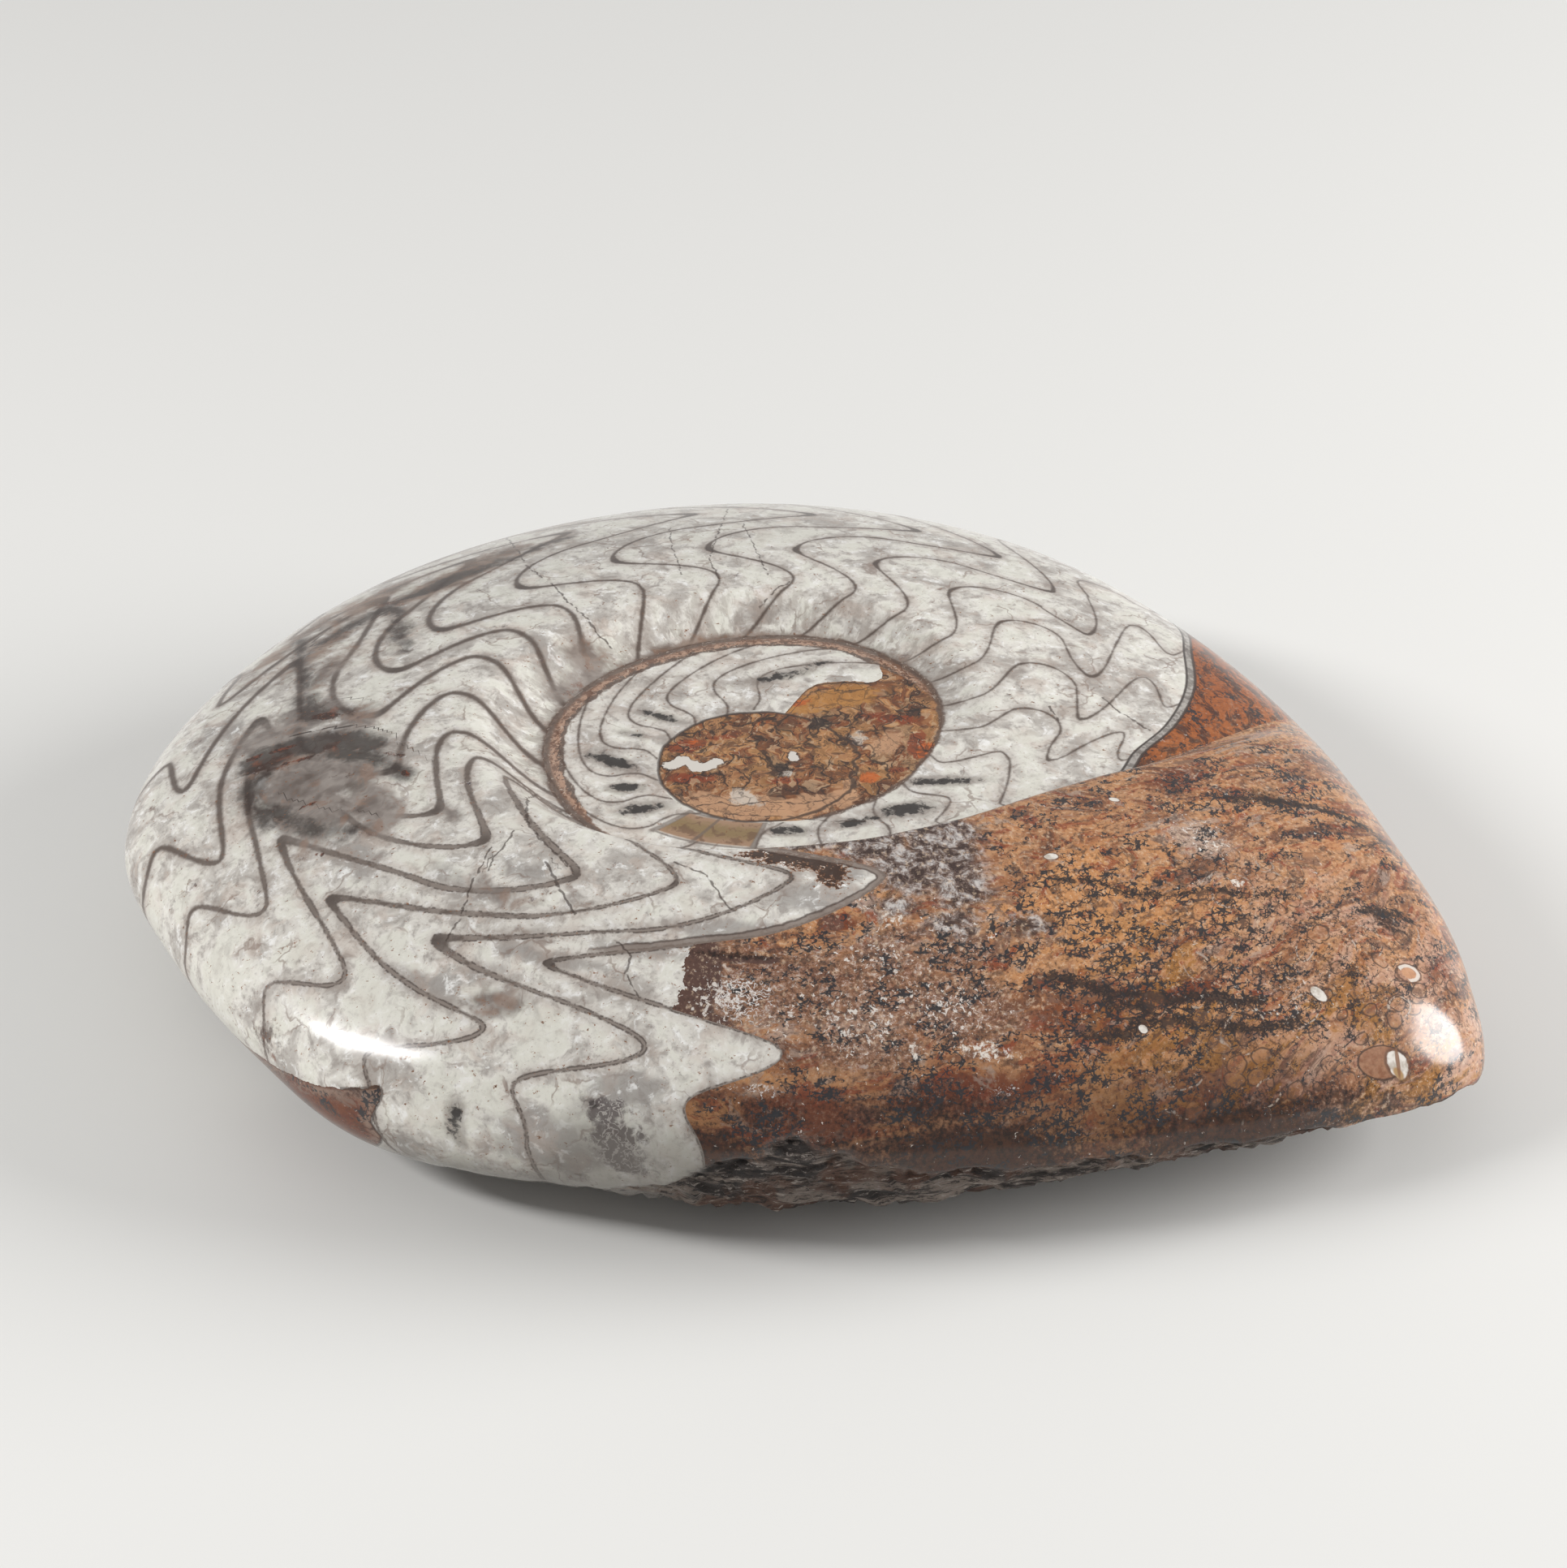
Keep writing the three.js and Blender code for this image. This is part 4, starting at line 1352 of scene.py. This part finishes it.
def frosting(s, place, colour, grain, frost):
    """The brown filling with white crumbs and short white worms on it."""
    more = s.attribute("pale_rock") * 0.15 + s.attribute("mixed_rock") * 0.05
    worms = s.band(s.noise(s.warped(place.spot, 2, 87, 1), (1.1, 0.8, 1), 88, 1), 0.5, 0.02, 0.03)
    twinkle = s.step(s.attribute("sparkle") + (grain - 0.5) * 1.5, 0.3, 0.7)
    return s.coats(
        colour,
        ((214, 206, 198), s.step(frost + more, 0.7, 0.73) * 0.85),
        ((216, 210, 206), worms * twinkle * 0.9),
    )


def outlined_fossils(s, place, colour, grain, near_tip):
    """The brown filling with small round fossils and arcs of larger ones on it."""
    small = round_fossils(s, place, 5.0, 84)
    arc = s.band(round_fossils(s, place, 11.0, 89), 0, 0.1, 0.25)
    arc = arc * s.step(s.noise(place.spot, 5, 83, 1), 0.44, 0.52)
    return s.coats(
        colour,
        ((152, 108, 78), s.step(small, 0, -0.4) * near_tip * 0.3),
        ((66, 50, 43), s.band(small, 0, 0.08, 0.2) * (0.1 + near_tip * 0.7)),
        (s.mix((70, 52, 44), (176, 160, 146), grain > 0.5), arc * near_tip * 0.85),
    )


def oval(s, place, middle, size, direction):
    """Distance from an oval's middle seen from above, 1 on its edge.

    The size is half its length and half its width, the direction is that of its length.
    """
    turned = s.node("ShaderNodeVectorRotate", rotation_type="Z_AXIS", invert=True)
    s.feed(turned.inputs["Vector"], s.combine(place.x, place.y, 0.0))
    turned.inputs["Center"].default_value = (*middle, 0.0)
    turned.inputs["Angle"].default_value = math.radians(direction)
    across = s.vector("SUBTRACT", turned.outputs[0], (*middle, 0.0))
    scaled = s.vector("MULTIPLY", across, (1 / size[0], 1 / size[1], 1.0))
    return Field(s, s.vector("LENGTH", scaled))


def small_shells(s, place, colour):
    """White shells near the aperture, cut across by the polish."""
    wobble = (s.noise(place.spot, 1.2, 86, 3) - 0.5) * 0.35
    cast = oval(s, place, *SHELL_CAST) + wobble * 0.3
    filling = s.mix((150, 110, 84), (128, 84, 60), s.step(wobble, -0.05, 0.06))
    colour = s.mix(colour, filling, s.step(cast, 1.02, 0.96) * 0.9)
    colour = s.mix(colour, (66, 48, 40), s.band(cast, 1.0, 0.02, 0.06) * 0.85)
    pale = s.mix((212, 206, 198), (176, 166, 154), s.step(wobble, -0.04, 0.06))
    for form in SMALL_SHELLS:
        shell = oval(s, place, *form) + wobble
        colour = s.mix(colour, (74, 54, 46), s.band(shell, 1.1, 0.06, 0.2) * 0.6)
        colour = s.mix(colour, pale, s.step(shell, 1.06, 0.9))
    for form, coat in ((SHELL_FILLING, (160, 124, 74)), (SHELL_WALL, (126, 88, 62))):
        colour = s.mix(colour, coat, s.step(oval(s, place, *form) + wobble, 1.2, 0.7) * 0.9)
    hoop = oval(s, place, *SHELL_HOOP) + wobble * 0.6
    open_side = place.x + place.y < SHELL_HOOP[0][0] + SHELL_HOOP[0][1] - 1.6
    return s.coats(
        colour,
        ((186, 138, 104), s.step(hoop, 0.8, 0.5) * 0.8),
        ((84, 60, 50), s.band(hoop, 1.15, 0.05, 0.12) * 0.7),
        ((204, 194, 184), s.band(hoop, 0.9, 0.12, 0.12) * (1 - open_side) * 0.9),
    )


def past_fill(s, place):
    """Distance beyond the edge of the fill beside the round heart, in mm."""
    edge = s.along(place.turn, FILL_EDGE, FILL_EDGE[0][0], FILL_EDGE[-1][0])
    return place.radius - edge - (s.noise(place.spot, 3.4, 95, 3, 0.6) - 0.5) * 2.2


def heart(s, place, beyond, from_middle):
    """Colour of the patchwork at the heart of the umbilicus, by the distance beyond its fill's edge."""
    bent = s.warped(s.warped(place.spot, 6, 51, 3), 2, 52, 1.2)
    patch = s.noise(bent, (5, 8, 5), 53, 3, 0.6, 0.5)
    scraps = s.noise(bent, (2.4, 3.6, 2.4), 57, 3, 0.62)
    grain = s.noise(bent, (0.9, 1.3, 0.9), 54, 3, 0.7)
    wobble = (patch - 0.5) * 1.6 + (scraps - 0.5) * 0.8
    colour = s.ramp(s.cell_value(bent, HEART_PIECE, 58) + (patch - 0.5) * 1.5, HEART_COLOURS)
    for name, coat, strength in HEART_COATS:
        colour = s.mix(colour, coat, s.step(s.attribute(name) + wobble, 0.4, 0.6) * strength)
    calm = s.larger(s.attribute("peach_heart"), s.attribute("ochre_heart"))
    lively = 1 - s.step(calm, 0.2, 0.7) * 0.8
    inner_rim = s.band(beyond + (patch - 0.5) * 8, -3.6, 0.15, 0.5)
    rim = s.larger(s.band(beyond, -0.5, 0.15, 0.4), inner_rim)
    rim = rim * (place.turn > 45) * (from_middle > HEART_RADIUS + 0.5)
    joints = s.step(s.cell_edges(bent, HEART_PIECE, 58), 0.05, 0.015)
    outlines = s.larger(s.band(scraps, 0.53, 0.005, 0.014), joints)
    parts = s.step(s.noise(place.spot, 4, 56, 2), 0.4, 0.5)
    return s.coats(
        colour,
        ((82, 56, 42), s.step(scraps, 0.56, 0.59) * lively * 0.65),
        ((184, 154, 122), s.step(scraps, 0.42, 0.39) * lively * 0.55),
        ((60, 44, 36), s.step(grain, 0.57, 0.68) * lively * 0.6),
        ((208, 182, 154), s.step(grain, 0.4, 0.32) * lively * 0.5),
        ((70, 54, 42), rim * 0.75),
        ((44, 35, 32), outlines * parts * (0.4 + lively * 0.45)),
    )


def ring_colour(s, place, inward):
    """Colour of the band along the seam round the umbilicus, by the distance in from the seam."""
    flow = s.warped(place.flow, 2.5, 61, 1.2)
    strands = s.noise(flow, (4, 0.8, 0.9), 62, 5, 0.68)
    flecks = s.noise(flow, (3.4, 0.6, 0.8), 63, 3, 0.7)
    uneven = inward + (strands - 0.5) * 3.2
    dark = s.larger(s.step(uneven, 1.3, 0.6), s.step(uneven, 2.2, 2.8))
    return s.coats(
        s.mix((168, 134, 112), (104, 72, 55), s.step(strands, 0.43, 0.55)),
        ((80, 65, 57), dark * 0.85),
        ((190, 176, 162), s.step(flecks, 0.6, 0.66) * 0.7),
    )


def rough_rock(s, place):
    """Colour of the unpolished rock at the lower edge and underneath."""
    layered = s.combine(place.x * 0.5, place.y * 0.5, place.height * 2.2)
    clouds = s.noise(s.warped(layered, 6, 90, 3), 6, 91, 5, 0.68)
    grit = s.noise(layered, 1.3, 92, 5, 0.75)
    white = s.step(abs(place.turn - 226), 36, 26) * s.step(clouds, 0.62, 0.5)
    return s.coats(
        s.mix((50, 41, 37), (146, 132, 122), s.step(clouds, 0.44, 0.58)),
        ((98, 62, 42), s.step(s.noise(place.spot, 11, 93, 3), 0.5, 0.6) * 0.75),
        ((168, 162, 156), white * 0.85),
        ((28, 24, 23), s.step(grit, 0.53, 0.6) * 0.85),
        ((196, 184, 174), s.step(grit, 0.44, 0.36) * 0.75),
    )


def near_line(s, place, name, waver, seed, size=1.8):
    """Distance beyond a drawn line's half width, for one kind of line. The waver bends it."""
    offset = s.node("ShaderNodeAttribute", attribute_name=name).outputs["Vector"]
    push = s.warp_vector(place.spot, size, seed, waver)
    flat = s.vector("MULTIPLY", s.vector("ADD", offset, push), (1, 1, 0))
    return Field(s, s.vector("LENGTH", flat)) - s.split(offset)[2]


def chambers(s, place):
    """Colour of the white part of the shell."""
    only_second = place.second * (1 - place.third)
    outer_counts = place.third * (place.turn < -60) + only_second * (place.turn > -45)
    inner_counts = place.first * (1 - place.second) + only_second * (place.turn < 60)
    line = s.smaller(
        abs(s.attribute("suture")) + (1 - outer_counts) * FAR,
        abs(s.attribute("inner_suture")) + (1 - inner_counts) * FAR,
    )
    white = calcite(s, place, line)
    white = wall_smears(s, place, white)
    white = sutures(s, place, white, line)
    white = olive_chambers(s, place, white)
    white = stains(s, place, white)
    return chamber_edges(s, place, white)


def chamber_edges(s, place, white):
    """The white part with its last wall, painted shade on its low front and the strip by the venter."""
    to_end = s.attribute("last_suture") + (s.noise(place.spot, 3, 34, 3) - 0.5) * 1.2
    by_end = (place.coil > 243) * s.step(s.attribute("across"), 0.62, 0.5)
    # Painted shade: the white low on the front is darkened, and more so towards the bottom.
    low_front_shade = s.step(place.height - s.step(place.x, -44, -30) * 12, 24, 10) * s.step(place.y, -60, -80)
    low_front_shade = low_front_shade * (0.7 + s.step(place.height, 20, 8) * 0.2)
    mottled = s.step(s.noise(place.spot, 1.6, 35, 4, 0.65), 0.44, 0.56)
    strip = place.by_venter * s.step(abs(place.to_venter - 0.9), 1.1, 0.8)
    inner_line = place.by_venter * s.band(place.to_venter, 1.7, 0.1, 0.3)
    return s.coats(
        white,
        ((118, 104, 95), s.band(to_end, -0.6, 0.5, 0.3) * by_end * 0.8),
        ((66, 50, 43), s.band(to_end, -1.3, 0.04, 0.3) * by_end * 0.8),
        # painted shade low on the front
        ((90, 84, 77), low_front_shade),
        (s.mix((104, 97, 92), (158, 152, 146), mottled), strip * 0.85),
        ((58, 50, 46), inner_line * 0.9),
    )


def filled_part(s, place):
    """1 where the shell is filled with brown limestone."""
    ragged = (s.noise(place.spot, 2.5, 97, 4, 0.65) - 0.5) * 5
    past_cut = place.coil + ragged > 257.3
    past_last = (s.attribute("last_suture") > 0) * past_cut * place.second * (place.coil > 200)
    body = s.larger(place.third * (place.turn > -60), past_last)
    body = s.larger(body, place.by_venter * (place.to_venter < 0))
    return s.larger(body, s.attribute("rust_pocket") + ragged * 0.3 > 0)


def heart_part(s, place, beyond, from_seam, from_middle):
    """1 where the heart of the umbilicus is."""
    fill = (place.turn < FILL_EDGE[-1][0]) * (from_seam > 0) * (beyond < 0)
    corner = s.step(place.turn, 64, 51) * 6.5 + s.noise(place.spot, 3, 55, 3) * 2 - 1.5
    round_tongue = (place.turn > 40) * (place.turn < 66) * (from_seam > 0) * (from_seam < corner)
    below = (place.turn > 262) * (place.radius < 22.7)
    return s.larger(s.larger(fill, below), s.larger(round_tongue, from_middle < HEART_RADIUS))


def on_ring(s, place, from_seam):
    """How strong the band along the seam round the umbilicus is."""
    wide = s.step(abs(place.turn - 125), 105, 70)
    fringe = (s.noise(s.combine(place.turn * 0.7, from_seam, 0.0), (5, 2.5, 1), 104, 5, 0.6) - 0.5) * 2
    width = 0.5 + wide * 2.9 + (s.noise(place.spot, 3, 96, 4) - 0.5) * 2.2 + fringe * 0.5
    band = s.step(from_seam + fringe, -0.7, -0.1) * s.step(from_seam - width, 0.3, -0.2)
    return band * (place.turn < 290) * 0.92


def fine_lines(s, place, from_seam, from_middle):
    """Colour of the lines over everything polished, and how strong they are."""
    outline = s.band(from_middle, HEART_RADIUS, 0.12, 0.4) * 0.85
    venter = place.by_venter * s.band(place.to_venter, 0, 0.15, 0.3) * 0.9
    pocket = s.band(s.attribute("rust_pocket"), 0, 0.1, 0.3) * (place.x > -72) * 0.7
    shells = near_line(s, place, "shells", 1.0, 99) + (s.noise(place.spot, 1.6, 94, 3) - 0.5) * 1.6
    cracks = s.step(near_line(s, place, "cracks", 0.7, 100), 0.16, -0.04) * 0.75
    dark = s.larger(s.larger(outline, venter), s.larger(cracks, s.step(shells, 0.4, 0.15) * 0.7))
    dark = s.larger(dark, pocket)
    colour = s.mix(ring_colour(s, place, from_seam), (60, 47, 41), s.step(dark, 0, 0.3))
    shell = s.step(shells, 0.12, -0.08)
    strength = s.larger(s.larger(dark, on_ring(s, place, from_seam)), shell)
    return s.mix(colour, (204, 198, 190), shell), strength


def relief(s, place):
    """A normal bent by the grain of broken rock."""
    bump = s.node("ShaderNodeBump")
    bump.inputs["Strength"].default_value = 0.9
    bump.inputs["Distance"].default_value = 0.0022
    s.feed(bump.inputs["Height"], s.noise(place.spot, (2.2, 2.2, 1.1), 102, 6, 0.72))
    return bump.outputs[0]


def stone_material():
    s = Shader("goniatite_stone")
    place = Place(s)
    from_seam = place.seams[1] - place.radius
    uneven = (s.noise(place.spot, 5, 103, 2) - 0.5) * (1.0 + s.step(place.x, 4, 14) * 5)
    from_middle = Field(s, s.vector("DISTANCE", s.combine(place.x, place.y, 0.0), HEART_CENTRE)) + uneven
    beyond = past_fill(s, place)
    polish = 0.12 + s.noise(place.spot, 4, 101, 2, 0.6) * 0.12

    white = s.surface(chambers(s, place), polish)
    rock = small_shells(s, place, limestone_marks(s, place, limestone(s, place)))
    surface = s.either(white, s.surface(rock, polish), filled_part(s, place))
    patchwork = s.surface(heart(s, place, beyond, from_middle), polish)
    surface = s.either(surface, patchwork, heart_part(s, place, beyond, from_seam, from_middle))
    colour, strength = fine_lines(s, place, from_seam, from_middle)
    surface = s.either(surface, s.surface(colour, polish), strength)
    broken = s.surface(rough_rock(s, place), 0.75, relief(s, place))
    s.show(s.either(surface, broken, s.attribute("rough")))
    return s.material


# ---- The piece ----


def make_fossil():
    fossil = bpy.data.objects.new("goniatite", fossil_mesh())
    fossil.data.materials.append(stone_material())
    bpy.context.scene.collection.objects.link(fossil)
    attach(fossil, "root")
    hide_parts(FOSSIL_NODE)
    return fossil


# ---- Floor, lights and camera ----


def make_floor():
    size = 12.0
    mesh = bpy.data.meshes.new("floor")
    corners = [(-size, -size, 0), (size, -size, 0), (size, size, 0), (-size, size, 0)]
    mesh.from_pydata(corners, [], [(0, 1, 2, 3)])
    s = Shader("pale_floor")
    shader = s.node("ShaderNodeBsdfPrincipled")
    s.feed(shader.inputs["Base Color"], (222, 221, 218))
    s.feed(shader.inputs["Roughness"], 0.7)
    s.show(shader.outputs[0])
    mesh.materials.append(s.material)
    floor = bpy.data.objects.new("floor", mesh)
    bpy.context.scene.collection.objects.link(floor)


def make_softbox(name, place, width, height, power, roll=0.0):
    """An area light that faces the fossil, rolled about its aim by some degrees."""
    data = bpy.data.lights.new(name, "AREA")
    data.shape = "ELLIPSE"
    data.size = width
    data.size_y = height
    data.energy = power
    light = bpy.data.objects.new(name, data)
    light.location = place
    aim = Vector((0, 0, 0.02)) - Vector(place)
    level = aim.to_track_quat("-Z", "Y")
    light.rotation_euler = (level @ Quaternion((0, 0, 1), math.radians(roll))).to_euler()
    bpy.context.scene.collection.objects.link(light)


def make_lights():
    make_softbox("left_softbox", (-0.98, -0.26, 0.74), width=0.85, height=0.16, power=10, roll=34)
    make_softbox("right_softbox", (1.12, 0.06, 0.42), width=0.85, height=0.68, power=18)
    world = bpy.data.worlds.new("studio")
    world.use_nodes = True
    background = world.node_tree.nodes["Background"]
    background.inputs["Color"].default_value = (1, 1, 1, 1)
    background.inputs["Strength"].default_value = 0.4
    bpy.context.scene.world = world
    bpy.context.scene.view_settings.view_transform = "Standard"


def make_camera():
    """Looks down at the fossil from the front, as far off as a long lens would be."""
    elevation = math.radians(33)
    distance = 0.95
    aim = Vector((0.0008, 0.0125, 0.030))
    ahead = Vector((0, math.cos(elevation), -math.sin(elevation)))
    data = bpy.data.cameras.new("camera")
    data.lens = 123.56
    data.sensor_width = 36
    camera = bpy.data.objects.new("camera", data)
    camera.location = aim - ahead * distance
    camera.rotation_euler = ahead.to_track_quat("-Z", "Y").to_euler()
    bpy.context.scene.collection.objects.link(camera)
    bpy.context.scene.camera = camera


make_fossil()
make_floor()
make_lights()
make_camera()
